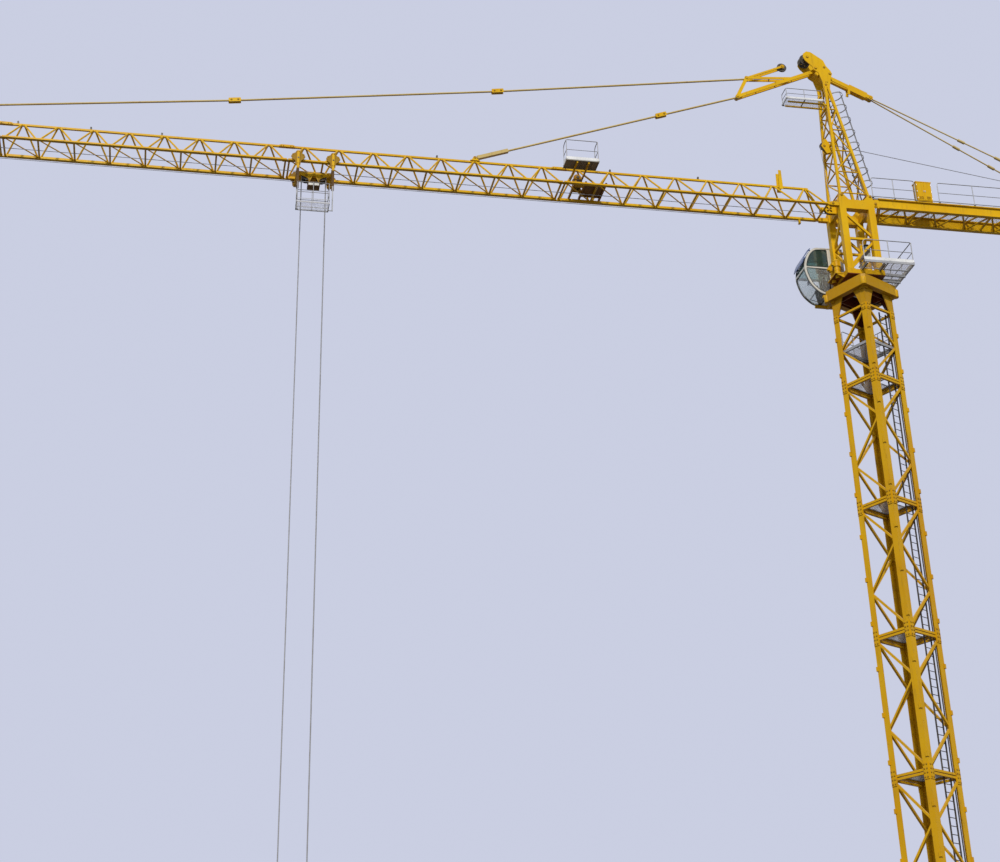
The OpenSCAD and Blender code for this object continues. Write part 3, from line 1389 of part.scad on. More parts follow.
base_frame();
mast_section(1);  // mast_section_1
mast_section(2);  // mast_section_2
mast_section(3);  // mast_section_3
mast_section(4);  // mast_section_4
mast_section(5);  // mast_section_5
mast_section(6);  // mast_section_6
mast_section(7);  // mast_section_7
mast_ladder();
rest_platforms();
ring_support();
lower_ring();
turntable();
slewing_drives();
slewing_tower();
cab_shell();
cab_windows();
sun_visor();
cab_bracket();
service_platform();
tower_head();
head_sheaves();
head_platform();
head_ladder();
tie_linkage();
jib_ties();
counter_ties();
jib_section(section_x(1), panels, root=true);  // jib_section_1
jib_section(section_x(2), panels);  // jib_section_2
jib_section(section_x(3), panels);  // jib_section_3
jib_section(section_x(4), panels);  // jib_section_4
jib_tip();
trolley_winch();
winch_platform();
counter_jib();
counter_walkway();
electric_cabinet();
hoist_winch();
counterweights();
jib_ropes();
trolley_frame();
trolley_rollers();
trolley_basket();
rope_falls();
hook_block();
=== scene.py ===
from math import copysign, cos, exp, pi, radians, sin

import bmesh
import bpy
from mathutils import Matrix, Vector


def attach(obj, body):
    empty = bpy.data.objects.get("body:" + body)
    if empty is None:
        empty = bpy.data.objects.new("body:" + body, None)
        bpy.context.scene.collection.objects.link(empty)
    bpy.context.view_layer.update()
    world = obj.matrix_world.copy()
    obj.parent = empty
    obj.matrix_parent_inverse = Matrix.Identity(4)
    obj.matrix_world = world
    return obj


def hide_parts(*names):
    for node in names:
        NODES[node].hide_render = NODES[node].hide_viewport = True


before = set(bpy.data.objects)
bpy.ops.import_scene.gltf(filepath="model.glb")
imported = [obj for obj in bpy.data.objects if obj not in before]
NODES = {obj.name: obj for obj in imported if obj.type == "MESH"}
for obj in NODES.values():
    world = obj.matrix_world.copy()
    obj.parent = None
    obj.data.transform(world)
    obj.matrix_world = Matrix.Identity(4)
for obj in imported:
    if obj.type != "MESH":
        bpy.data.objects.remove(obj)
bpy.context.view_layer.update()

# heights and stations of the part, in metres
J = 20.241
HEAD_Z = J + 3.1
JIB_TOP = J + 0.54
HALF_W = 0.33
PANEL = 0.715
MAST_TURN = radians(27)
UP, DOWN = (0, 0, 1), (0, 0, -1)
TROLLEY_X = -11.5
TABLE_Z = 18.6412
COLUMN = 0.315
CHEEK_Y = 0.1785
RAIL_H = 0.49


def mast_z(i):
    """Foot of a mast section, the lowest is 1"""
    return 0.25 + (i - 1) * 2.65


def section_x(i):
    return 0.59 + (i - 1) * (8 * PANEL + 0.028)


# ---- camera
# Fitted to the photograph's jib nodes, mast legs and head: focal length, principal point and angles
IMAGE_W, IMAGE_H = 1000.0, 862.0
FOCAL_PX = 1698.8
CENTRE_X, CENTRE_Y = 377.6, 378.4
YAW, PITCH, ROLL = 0.12527, 0.46308, -0.010783
CAMERA_AT = Vector((-13.825, -29.345, 0.8))


def make_camera():
    forward = Vector((sin(YAW) * cos(PITCH), cos(YAW) * cos(PITCH), sin(PITCH)))
    right = Vector((cos(YAW), -sin(YAW), 0.0))
    down = forward.cross(right)
    r = cos(ROLL) * right + sin(ROLL) * down
    d = -sin(ROLL) * right + cos(ROLL) * down
    data = bpy.data.cameras.new("camera")
    data.sensor_fit = "HORIZONTAL"
    data.sensor_width = 36.0
    data.lens = 36.0 * FOCAL_PX / IMAGE_W
    data.shift_x = 0.5 - CENTRE_X / IMAGE_W
    data.shift_y = (CENTRE_Y - IMAGE_H / 2) / IMAGE_W
    data.clip_end = 500
    camera = bpy.data.objects.new("camera", data)
    bpy.context.scene.collection.objects.link(camera)
    m = Matrix((r, -d, -forward)).transposed()
    camera.matrix_world = Matrix.Translation(CAMERA_AT) @ m.to_4x4()
    bpy.context.scene.camera = camera


make_camera()


# ---- materials
class Nodes:
    """Adds nodes to a tree, with their inputs set or linked"""

    def __init__(self, tree):
        self.tree = tree

    def fill(self, node, *first, **named):
        inputs = [*enumerate(first), *((key.replace("_", " "), value) for key, value in named.items())]
        for key, value in inputs:
            socket = node.inputs[key]
            if isinstance(value, bpy.types.NodeSocket):
                self.tree.links.new(value, socket)
            else:
                socket.default_value = (*value, 1) if socket.type == "RGBA" else value
        return node

    def node(self, kind, *first, props=(), **named):
        n = self.tree.nodes.new("ShaderNode" + kind)
        for key, value in dict(props).items():
            setattr(n, key, value)
        return self.fill(n, *first, **named)

    def math(self, operation, *values, clamp=False):
        return self.node("Math", *values, props={"operation": operation, "use_clamp": clamp}).outputs[0]


class Shader(Nodes):
    """A principled material with short names for the nodes that its pattern is made of"""

    def __init__(self, name, color, rough=0.5, metal=0.0, **sockets):
        self.mat = bpy.data.materials.new(name)
        self.mat.use_nodes = True
        super().__init__(self.mat.node_tree)
        self.bsdf = self.tree.nodes["Principled BSDF"]
        self.fill(self.bsdf, Base_Color=color, Roughness=rough, Metallic=metal, **sockets)
        self.coord = self.node("TexCoord").outputs["Object"]

    def times(self, a, b):
        return self.math("MULTIPLY", a, b)

    def stretched(self, *scale):
        return self.node("Mapping", Vector=self.coord, Scale=scale).outputs["Vector"]

    def noise(self, scale, detail, rough=0.6, vector=None):
        return self.node("TexNoise", Vector=vector or self.coord, Scale=scale, Detail=detail,
            Roughness=rough).outputs["Fac"]

    def streaks(self, detail, rough, *scale):
        """Noise that is drawn out downwards"""
        return self.noise(1.0, detail, rough, self.stretched(*scale))

    def voronoi(self, scale):
        return self.node("TexVoronoi", Vector=self.coord, Scale=scale).outputs["Distance"]

    def wave(self, scale, direction, distortion):
        return self.node("TexWave", props={"bands_direction": direction}, Vector=self.coord, Scale=scale,
            Distortion=distortion).outputs["Fac"]

    def ramp(self, value, low, high, to_low=0.0, to_high=1.0):
        return self.node("MapRange", Value=value, From_Min=low, From_Max=high, To_Min=to_low,
            To_Max=to_high).outputs["Result"]

    def mix(self, factor, a, b):
        return self.node("Mix", props={"data_type": "RGBA"}, Factor=factor, A=a, B=b).outputs["Result"]

    def place(self, axis, vector=None):
        return self.node("SeparateXYZ", vector or self.coord).outputs[axis]

    def normal_z(self):
        return self.place("Z", self.node("NewGeometry").outputs["Normal"])

    def edges(self, radius):
        """1 on the edges of a solid, 0 on its flats"""
        soft = self.node("Bevel", props={"samples": 4}, Radius=radius)
        flat = self.node("NewGeometry")
        dot = self.node("VectorMath", soft.outputs["Normal"], flat.outputs["Normal"],
            props={"operation": "DOT_PRODUCT"})
        return self.ramp(dot.outputs["Value"], 0.995, 0.86)

    def worn(self, radius, spread, low, high, share):
        """Worn edges where the spread pattern is high"""
        return self.times(self.times(self.edges(radius), self.ramp(spread, low, high)), share)

    def finish(self, color, rough=None, height=None, strength=0.0, distance=0.0):
        self.fill(self.bsdf, Base_Color=color)
        if rough:
            self.fill(self.bsdf, Roughness=rough)
        if height:
            bump = self.node("Bump", Height=height, Strength=strength, Distance=distance)
            self.fill(self.bsdf, Normal=bump.outputs["Normal"])
        return self.mat


RUST = (0.17, 0.055, 0.016)
DUST = (0.42, 0.36, 0.26)


def yellow_paint(name, tone=(0.78, 0.475, 0.004), rust=1.0, inner=None,
        second=((0.11, 0.022, 0.008), (0.19, 0.045, 0.018))):
    s = Shader(name, tone, rough=0.44, Specular_IOR_Level=0.16)
    broad = s.noise(0.55, 4)
    patch = s.noise(5.0, 5, 0.62)
    fine = s.noise(38.0, 4, 0.65)
    streak = s.streaks(4, 0.6, 16, 16, 1.3)
    faded = (tone[0] * 0.92, tone[1] * 0.97, tone[2] + 0.012)
    deep = (tone[0] * 0.86, tone[1] * 0.76, tone[2] * 0.6)
    base = s.mix(s.ramp(broad, 0.35, 0.68), deep, tone)
    base = s.mix(s.ramp(patch, 0.48, 0.74, 0, 0.5), base, faded)
    grime = s.times(s.ramp(streak, 0.52, 0.72), s.ramp(patch, 0.36, 0.62))
    base = s.mix(s.times(grime, 0.42), base, (0.25, 0.12, 0.012))
    # a second colour inside a mask: primer, the hook's steel, and painted shade, as each mask's docstring says
    if inner:
        base = s.mix(inner(s), base, s.mix(s.ramp(patch, 0.35, 0.7), *second))
    # painted shade: surfaces that face down turn a darker brown, in patches
    below = s.times(s.ramp(s.normal_z(), -0.35, -0.85), s.ramp(patch, 0.3, 0.65, 0.25, 0.62))
    base = s.mix(below, base, (0.2, 0.085, 0.006))
    dusty = s.times(s.ramp(s.normal_z(), 0.35, 0.95), s.ramp(fine, 0.3, 0.75, 0.05, 0.32))
    base = s.mix(dusty, base, DUST)
    spots = s.times(s.ramp(fine, 0.63, 0.7), s.ramp(patch, 0.52, 0.6))
    marks = s.math("MAXIMUM", s.worn(0.009, patch, 0.5, 0.64, 0.85), s.times(spots, 0.8), clamp=True)
    marks = s.times(marks, rust)
    return s.finish(s.mix(marks, base, RUST), s.math("ADD", s.ramp(fine, 0.3, 0.7, 0.34, 0.5), s.times(marks, 0.35),
        clamp=True), s.math("SUBTRACT", s.times(fine, 0.6), marks), 0.35, 0.004)


def galvanised(name, tone=(0.6, 0.61, 0.62), rough=0.42, metal=0.55, under=0.0, shade=(0.055, 0.048, 0.042)):
    s = Shader(name, tone, rough=rough, metal=metal)
    spangle = s.voronoi(34.0)
    broad = s.noise(2.2, 5)
    fine = s.noise(70.0, 3)
    streak = s.streaks(4, 0.6, 14, 14, 1.6)
    dull = tuple(c * 0.72 for c in tone)
    base = s.mix(s.ramp(broad, 0.35, 0.7), dull, tone)
    base = s.mix(s.ramp(spangle, 0.1, 0.7, 0, 0.3), base, tuple(min(1, c * 1.18) for c in tone))
    base = s.mix(s.times(s.ramp(streak, 0.56, 0.75), 0.45), base, (0.2, 0.15, 0.1))
    # painted shade: surfaces that face down are darkened toward the shade colour
    if under:
        base = s.mix(s.ramp(s.normal_z(), -0.2, -0.9, 0.0, under), base, shade)
    return s.finish(s.mix(s.worn(0.006, broad, 0.5, 0.62, 0.55), base, RUST),
        s.ramp(spangle, 0.0, 0.8, rough - 0.1, rough + 0.16), fine, 0.22, 0.002)


def dark_steel(name, tone=(0.075, 0.066, 0.055), rough=0.48):
    s = Shader(name, tone, rough=rough, metal=0.35)
    broad = s.noise(3.0, 5, 0.62)
    fine = s.noise(52.0, 4, 0.62)
    base = s.mix(s.ramp(broad, 0.35, 0.66), tuple(c * 0.55 for c in tone), tuple(c * 1.5 for c in tone))
    base = s.mix(s.ramp(s.noise(9.0, 5), 0.55, 0.68, 0, 0.6), base, (0.13, 0.062, 0.026))
    return s.finish(s.mix(s.worn(0.006, fine, 0.42, 0.62, 0.6), base, (0.36, 0.34, 0.31)),
        s.ramp(fine, 0.3, 0.7, rough - 0.16, rough + 0.2), fine, 0.3, 0.003)


def cab_cream(name):
    tone = (0.7, 0.68, 0.61)
    s = Shader(name, tone, rough=0.36, Specular_IOR_Level=0.5)
    broad = s.noise(2.4, 4)
    streak = s.streaks(5, 0.6, 18, 18, 1.4)
    fine = s.noise(60.0, 3)
    base = s.mix(s.ramp(broad, 0.35, 0.7), (0.6, 0.585, 0.53), tone)
    base = s.mix(s.times(s.ramp(streak, 0.54, 0.72), 0.4), base, (0.3, 0.26, 0.2))
    return s.finish(s.mix(s.worn(0.006, fine, 0.5, 0.64, 0.5), base, (0.26, 0.23, 0.19)),
        s.ramp(fine, 0.3, 0.7, 0.28, 0.46), fine, 0.15, 0.002)


def cab_glass(name, tone=(0.2, 0.36, 0.32)):
    s = Shader(name, tone, rough=0.03, IOR=1.45, Transmission_Weight=0.9, Specular_IOR_Level=0.6)
    broad = s.noise(3.0, 4)
    streak = s.streaks(5, 0.62, 22, 22, 1.5)
    film = s.times(s.ramp(streak, 0.5, 0.75), s.ramp(broad, 0.35, 0.65))
    # the upper panes are tinted, the lower ones nearly clear
    base = s.mix(s.ramp(s.place("Z"), 19.08, 19.12), (0.9, 0.93, 0.91), tone)
    return s.finish(s.mix(s.times(film, 0.2), base, (0.55, 0.55, 0.5)), s.ramp(film, 0.0, 1.0, 0.02, 0.22))


def visor_sheet(name):
    tone = (0.026, 0.08, 0.26)
    s = Shader(name, tone, rough=0.2, Specular_IOR_Level=0.6)
    broad = s.noise(5.0, 4)
    fine = s.noise(60.0, 3)
    base = s.mix(s.ramp(broad, 0.35, 0.7), (0.015, 0.044, 0.14), tone)
    return s.finish(s.mix(s.ramp(fine, 0.62, 0.75, 0, 0.5), base, (0.2, 0.22, 0.26)),
        s.ramp(fine, 0.3, 0.7, 0.14, 0.34), fine, 0.12, 0.002)


def concrete(name):
    tone = (0.44, 0.43, 0.4)
    s = Shader(name, tone, rough=0.9)
    broad = s.noise(1.7, 5, 0.62)
    fine = s.noise(26.0, 6, 0.7)
    pores = s.voronoi(60.0)
    streak = s.streaks(5, 0.62, 9, 9, 0.8)
    base = s.mix(s.ramp(broad, 0.3, 0.7), (0.33, 0.32, 0.295), tone)
    base = s.mix(s.ramp(fine, 0.4, 0.7, 0, 0.45), base, (0.53, 0.52, 0.49))
    base = s.mix(s.times(s.ramp(streak, 0.52, 0.72), 0.5), base, (0.19, 0.175, 0.15))
    # painted shade: the pits are darkened, as well as sunk by the bump
    holes = s.ramp(pores, 0.16, 0.07)
    return s.finish(s.mix(s.times(holes, 0.6), base, (0.14, 0.13, 0.12)), s.ramp(fine, 0.3, 0.7, 0.8, 0.98),
        s.math("SUBTRACT", fine, holes), 0.5, 0.006)


def rope_steel(name):
    tone = (0.4, 0.4, 0.42)
    s = Shader(name, tone, rough=0.5, metal=0.4)
    strands = s.wave(22.0, "DIAGONAL", 0.6)
    broad = s.noise(4.0, 4)
    # painted shade: the grooves between strands are darkened, as well as sunk by the bump
    base = s.mix(s.ramp(strands, 0.25, 0.75), (0.16, 0.16, 0.17), tone)
    return s.finish(s.mix(s.ramp(broad, 0.5, 0.7, 0, 0.5), base, (0.1, 0.075, 0.05)), None, strands, 0.6, 0.004)


def rubber(name, tone=(0.022, 0.022, 0.023)):
    s = Shader(name, tone, rough=0.7)
    fine = s.noise(45.0, 4)
    return s.finish(s.mix(s.ramp(fine, 0.45, 0.7, 0, 0.5), tone, (0.075, 0.072, 0.068)),
        s.ramp(fine, 0.3, 0.7, 0.6, 0.85), fine, 0.2, 0.002)


def ring_primer_and_shade(s):
    """The primer inside the ring support, darkened further as painted shade, in the mast's turned frame"""
    x, y = s.place("X"), s.place("Y")
    c, n = cos(MAST_TURN), sin(MAST_TURN)
    u = s.math("ABSOLUTE", s.math("ADD", s.times(x, c), s.times(y, n)))
    v = s.math("ABSOLUTE", s.math("SUBTRACT", s.times(y, c), s.times(x, n)))
    return s.ramp(s.math("MAXIMUM", u, v), 0.409, 0.406)


def trolley_painted_shade(s):
    """Painted shade in a dark brown: wheel plates, sheave plates, stop box, and the near posts below the chords"""
    z = s.place("Z")
    side = s.math("ABSOLUTE", s.place("Y"))
    posts = s.times(s.ramp(z, J - 0.21, J - 0.25), s.ramp(s.place("Y"), -0.36, -0.38))
    plates = s.times(s.ramp(side, 0.38, 0.382), s.ramp(side, 0.4018, 0.4008))
    low = s.times(s.ramp(z, J - 0.2, J - 0.3), s.ramp(side, 0.115, 0.105))
    return s.math("MAXIMUM", posts, s.math("MAXIMUM", s.times(plates, 0.75), low), clamp=True)


def winch_cover_shade(s):
    """Painted shade: the trolley winch's cover plate, seen from below, in a dark red-brown"""
    return s.times(s.ramp(s.place("X"), -5.86, -5.85), s.ramp(s.place("Z"), J + 0.07, J + 0.066))


def table_primer_and_shade(s):
    """Primer below the turntable's lower edge, and painted shade on every surface that faces down"""
    return s.math("MAXIMUM", s.ramp(s.place("Z"), 18.545, 18.535), s.ramp(s.normal_z(), -0.6, -0.8))


def below_block(s):
    """The hook under its block"""
    return s.ramp(s.place("Z"), J - 15.06, J - 15.064)


YELLOW = yellow_paint("yellow paint")
YELLOW_MAST = yellow_paint("mast paint", (0.7, 0.4, 0.004), 1.2)
# ring support: primer on the inner faces, darkened as painted shade
YELLOW_RING = yellow_paint("ring support paint", (0.54, 0.3, 0.004), 1.2, ring_primer_and_shade)
# turntable and slewing drives: primer low down, painted shade on their undersides
YELLOW_TABLE = yellow_paint("turntable paint", (0.72, 0.43, 0.004), 1.2, table_primer_and_shade)
# the trolley's dark brown on plates, stop box and near posts is painted shade
YELLOW_TROLLEY = yellow_paint("trolley paint", (0.8, 0.49, 0.004), 1.3, trolley_painted_shade,
    ((0.055, 0.026, 0.004), (0.13, 0.062, 0.007)))
# the trolley winch's cover plate is darkened as painted shade
YELLOW_WINCH = yellow_paint("trolley winch paint", (0.46, 0.25, 0.012), 1.6, winch_cover_shade,
    ((0.085, 0.028, 0.004), (0.17, 0.062, 0.008)))
YELLOW_HOOK = yellow_paint("hook block paint", (0.76, 0.45, 0.004), 1.2, below_block,
    ((0.045, 0.036, 0.03), (0.1, 0.085, 0.07)))
YELLOW_TIES = yellow_paint("tie paint", (0.62, 0.49, 0.21), 0.8)
PAINTED = yellow_paint("painted fasteners", (0.42, 0.24, 0.012), 2.0)
GALV = galvanised("galvanised steel")
DARK = dark_steel("dark steel")
CREAM = cab_cream("cab enamel")
GLASS = cab_glass("cab glass")
VISOR = visor_sheet("visor sheet")
CONCRETE = concrete("cast concrete")
ROPE = rope_steel("wire rope")
RUBBER = rubber("black rubber")
BRIGHT = galvanised("bright steel", (0.66, 0.66, 0.65), 0.3, 0.8)
# painted light: a paler copy of the zinc for the toe boards, standing in for their sunlit faces
ZINC_SUNLIT_COPY = galvanised("light zinc", (0.8, 0.8, 0.8), 0.5, 0.2)
# platform zinc and deck plate: painted shade on their undersides
ZINC = galvanised("platform zinc", (0.4, 0.405, 0.42), 0.5, 0.35, 0.85)
DECK = galvanised("deck plate", (0.34, 0.32, 0.28), 0.6, 0.15, 0.9, (0.16, 0.115, 0.075))
GREY_ENAMEL = galvanised("grey enamel", (0.52, 0.53, 0.53), 0.45, 0.0)
# painted light: pale blocks standing in for the sky seen through the stop box's windows
WINDOW_SKY_FILL = galvanised("pale slide blocks", (0.78, 0.77, 0.74), 0.55, 0.0)
# a dark grey zinc for the head ladder's thin hoops
DARK_ZINC = galvanised("weathered zinc", (0.22, 0.22, 0.22), 0.55, 0.3)
BOLTS = dark_steel("bolt steel", (0.16, 0.145, 0.12), 0.42)
MOTOR = dark_steel("motor enamel", (0.06, 0.075, 0.085), 0.5)
BROWN_MOTOR = dark_steel("winch enamel", (0.095, 0.068, 0.045), 0.55)
SEAT = rubber("seat cloth", (0.03, 0.032, 0.04))
SLOT_OF = {"yellow_paint": (YELLOW, YELLOW_MAST), "cab_cream": (CREAM,), "rope_steel": (ROPE,),
    "galvanised_steel": (GALV, ZINC, ZINC_SUNLIT_COPY, DECK, GREY_ENAMEL, BRIGHT, WINDOW_SKY_FILL),
    "dark_steel": (DARK, BOLTS, MOTOR, BROWN_MOTOR, RUBBER, SEAT, PAINTED)}
SLOT_OF = {material.name: slot for slot, materials in SLOT_OF.items() for material in materials}

BY_SLOT = {"yellow_paint": YELLOW, "galvanised_steel": GALV, "dark_steel": DARK, "cab_cream": CREAM,
    "cab_glass": GLASS, "visor_blue": VISOR, "concrete": CONCRETE, "rope_steel": ROPE}
for obj in NODES.values():
    for holder in obj.material_slots:
        holder.material = BY_SLOT[holder.material.name.split(".")[0]]
BY_NODE = {"ring_support": YELLOW_RING, "trolley_frame": YELLOW_TROLLEY, "hook_block": YELLOW_HOOK,
    "jib_ties": YELLOW_TIES, "counter_ties": YELLOW_TIES, "mast_ladder": DARK, "head_ladder": DARK_ZINC,
    "base_frame": YELLOW_MAST, "turntable": YELLOW_TABLE, "trolley_winch": YELLOW_WINCH,
    "slewing_drives": YELLOW_TABLE}
BY_NODE.update({"mast_section_%d" % i: YELLOW_MAST for i in range(1, 8)})
for node, material in BY_NODE.items():
    for holder in NODES[node].material_slots:
        holder.material = material


# ---- shapes
TURN = Matrix.Rotation(MAST_TURN, 4, "Z")


def around(n, r, start=0.0):
    """n points evenly spaced on a circle, from a start given as a share of one step"""
    return [(r * cos(a), r * sin(a)) for a in (2 * pi * (k + start) / n for k in range(n))]


def mm(*numbers):
    """Pairs of metres from a row of millimetres"""
    return [(a / 1000, b / 1000) for a, b in zip(numbers[::2], numbers[1::2])]


def front(x0, x1, z0, z1, y):
    """A rectangle that looks along Y"""
    return [Vector((x, y, z)) for x, z in ((x0, z0), (x1, z0), (x1, z1), (x0, z1))]


def border(x0, y0, x1, y1, w):
    """Opposite corners of the four bars of a frame"""
    return (((x0, y0), (x1, y0 + w)), ((x0, y1 - w), (x1, y1)), ((x0, y0 + w), (x0 + w, y1 - w)),
        ((x1 - w, y0 + w), (x1, y1 - w)))


class Shape:
    """Boxes, tubes and turned forms that are joined into one piece"""

    def __init__(self, turned=False):
        self.bm = bmesh.new()
        self.turned = turned

    def add(self, points, faces):
        verts = [self.bm.verts.new(p) for p in points]
        for f in faces:
            self.bm.faces.new([verts[i] for i in f])

    def box(self, a, b):
        points = [Vector((x, y, z)) for z in (a[2], b[2]) for x, y in ((a[0], a[1]), (b[0], a[1]), (b[0], b[1]),
            (a[0], b[1]))]
        self.add(points, [(0, 3, 2, 1), (4, 5, 6, 7), (0, 1, 5, 4), (1, 2, 6, 5), (2, 3, 7, 6), (3, 0, 4, 7)])

    def block(self, x, y, a, b, z0, z1):
        """A box from z0 to z1 that reaches a and b on both sides of x and y"""
        self.box((x - a, y - b, z0), (x + a, y + b, z1))

    def rings(self, rings):
        """Skins rings of points, each with the same count"""
        n = len(rings[0])
        points = [p for ring in rings for p in ring]
        faces = [(i * n + k, i * n + (k + 1) % n, (i + 1) * n + (k + 1) % n, (i + 1) * n + k)
            for i in range(len(rings) - 1) for k in range(n)]
        faces.append(tuple(range(n - 1, -1, -1)))
        faces.append(tuple((len(rings) - 1) * n + k for k in range(n)))
        self.add(points, faces)

    def sweep(self, path, r, n=8):
        """A round bar along a path"""
        path = [Vector(p) for p in path]
        side = None
        rings = []
        for i, p in enumerate(path):
            t = (path[min(i + 1, len(path) - 1)] - path[max(i - 1, 0)]).normalized()
            if side is None:
                side = t.orthogonal().normalized()
            side = (side - t * side.dot(t)).normalized()
            up = t.cross(side)
            rings.append([p + u * side + v * up for u, v in around(n, r)])
        self.rings(rings)

    def tube(self, p, q, r, n=8):
        self.sweep([p, q], r, n)

    def bent(self, points, bend, r, n=8, steps=4):
        """A round bar with rounded bends"""
        self.sweep(rounded(points, bend, steps), r, n)

    def prism(self, outline, y0, y1):
        """An outline of (x, z) pairs carried along Y"""
        self.rings([[Vector((x, y, z)) for x, z in outline] for y in (y0, y1)])

    def lathe(self, at, axis, profile, n=24):
        """A form turned about an axis from (radius, height) pairs"""
        axis = Vector(axis).normalized()
        side = axis.orthogonal().normalized()
        up = axis.cross(side)
        at = Vector(at)
        self.rings([[at + axis * h + u * side + v * up for u, v in around(n, r)] for r, h in profile])

    def bolt(self, at, axis, r=0.011, h=0.009, stud=0.0):
        """A hexagon head on a washer, with the end of its thread"""
        self.lathe(at, axis, [(r * 1.35, -0.001), (r * 1.35, h * 0.22), (r * 1.28, h * 0.25)], 10)
        self.lathe(at, axis, [(r, h * 0.2), (r, h * 0.86), (r * 0.84, h)], 6)
        if stud:
            self.lathe(at, axis, [(r * 0.5, h * 0.9), (r * 0.5, h + stud * 0.9), (r * 0.4, h + stud)], 8)

    def plate(self, outline, origin, u, v, t):
        """A flat plate of thickness t with an outline given along u and v"""
        u = Vector(u).normalized()
        v = Vector(v).normalized()
        n = u.cross(v)
        origin = Vector(origin)
        low = [origin + u * a + v * b for a, b in outline]
        self.rings([low, [p + n * t for p in low]])

    def done(self, name, material, body="upperworks", replaces=(), slot=None, angle=32):
        bmesh.ops.recalc_face_normals(self.bm, faces=self.bm.faces)
        mesh = bpy.data.meshes.new(name)
        self.bm.to_mesh(mesh)
        self.bm.free()
        if self.turned:
            mesh.transform(TURN)
        mesh.materials.append(material)
        obj = bpy.data.objects.new(name, mesh)
        bpy.context.scene.collection.objects.link(obj)
        mesh.polygons.foreach_set("use_smooth", [True] * len(mesh.polygons))
        mesh.set_sharp_from_angle(angle=radians(angle))
        if replaces:
            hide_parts(*replaces)
        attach(obj, body)
        slot = slot or SLOT_OF[material.name]
        return obj


def rounded(points, r, steps=4):
    """A path whose inner corners are rounded, all by r or each by its own value in r"""
    points = [Vector(p) for p in points]
    out = [points[0]]
    for i in range(1, len(points) - 1):
        a, b, c = points[i - 1], points[i], points[i + 1]
        u, v = (a - b), (c - b)
        k = min(r[i - 1] if isinstance(r, list) else r, u.length * 0.45, v.length * 0.45)
        u.normalize()
        v.normalize()
        p, q = b + u * k, b + v * k
        for j in range(steps + 1):
            t = j / steps
            out.append(p * (1 - t) ** 2 + b * 2 * t * (1 - t) + q * t * t)
    out.append(points[-1])
    return out


# ---- platforms
def grating(s, x0, y0, x1, y1, z, pitch=0.022, hole=None):
    """An open floor: a frame, bearing bars the short way, thin rods the long way. z is its top.
    A hole, as x0, y0, x1, y1, is only cut in a floor that is longer along x"""
    along_x = (x1 - x0) >= (y1 - y0)
    for a, b in border(x0, y0, x1, y1, 0.008):
        s.box((*a, z - 0.022), (*b, z))
    lo, hi = (x0, x1) if along_x else (y0, y1)
    count = int((hi - lo) / pitch)
    for k in range(1, count):
        p = lo + (hi - lo) * k / count
        spans = [(y0 + 0.004, y1 - 0.004) if along_x else (x0 + 0.004, x1 - 0.004)]
        if hole and hole[0] < p < hole[2]:
            spans = [(spans[0][0], hole[1]), (hole[3], spans[0][1])]
        for a, b in spans:
            if b - a > 0.01 and along_x:
                s.box((p - 0.0011, a, z - 0.007), (p + 0.0011, b, z - 0.001))
            elif b - a > 0.01:
                s.box((a, p - 0.0011, z - 0.007), (b, p + 0.0011, z - 0.001))
    lo, hi = (y0, y1) if along_x else (x0, x1)
    count = max(2, int((hi - lo) / 0.03))
    for k in range(1, count):
        p = lo + (hi - lo) * k / count
        crossed = hole and hole[1] < p + 0.001 and p - 0.001 < hole[3]
        for a, b in ((x0, hole[0]), (hole[2], x1)) if crossed else ((x0, x1),):
            if along_x:
                s.box((a, p - 0.001, z - 0.003), (b, p + 0.001, z))
            else:
                s.box((p - 0.001, y0, z - 0.003), (p + 0.001, y1, z))
    if hole:
        for a, b in (((hole[0], hole[1]), (hole[2], hole[1] + 0.006)),
                ((hole[0], hole[3] - 0.006), (hole[2], hole[3])), ((hole[0], hole[1]), (hole[0] + 0.006, hole[3])),
                ((hole[2] - 0.006, hole[1]), (hole[2], hole[3]))):
            s.box((*a, z - 0.02), (*b, z + 0.004))


def rail(s, path, z, h, r=0.01, toe=0.07, bend=0.06, toes=None):
    """Handrail with rounded corners, a knee rail, posts on foot plates and a toe board"""
    top = [(path[0][0], path[0][1], z)] + [(x, y, z + h) for x, y in path] + [(path[-1][0], path[-1][1], z)]
    # a corner post stays under the rail, so the level bends are tight
    bends = [bend] + [min(bend, 0.04)] * (len(path) - 2) + [bend]
    s.bent(top, bends, r, 10)
    s.bent([(x, y, z + h * 0.5) for x, y in path], 0.03, r * 0.75)
    for x, y in path[1:-1]:
        s.tube((x, y, z), (x, y, z + h - r * 0.4), r * 0.95, 10)
    for x, y in path:
        s.block(x, y, 0.022, 0.018, z, z + 0.006)
        for u in (-0.015, 0.015):
            s.bolt((x + u, y, z + 0.006), UP, 0.005, 0.005)
        s.lathe((x, y, z + 0.006), UP, [(r * 1.3, 0), (r * 1.25, 0.012), (r * 1.0, 0.016)], 10)
    if toe:
        s = toes or s
        turns = [q for p, q, w in zip(path, path[1:], path[2:])
            if abs((q[0] - p[0]) * (w[1] - q[1]) - (q[1] - p[1]) * (w[0] - q[0])) > 1e-9]
        ends = [path[0], *turns, path[-1]]
        for (ax, ay), (bx, by) in zip(ends, ends[1:]):
            d = Vector((bx - ax, by - ay, 0))
            n = Vector((d.y, -d.x, 0)).normalized() * (r + 0.002)
            t = n.normalized() * 0.003
            a, b = Vector((ax, ay, z)) + n, Vector((bx, by, z)) + n
            e = d.normalized() * (r + 0.002)
            a, b = a - e, b + e + d.normalized() * 0.003
            up = Vector((0, 0, toe))
            s.rings([[a, a + t, a + t + up, a + up], [b, b + t, b + t + up, b + up]])


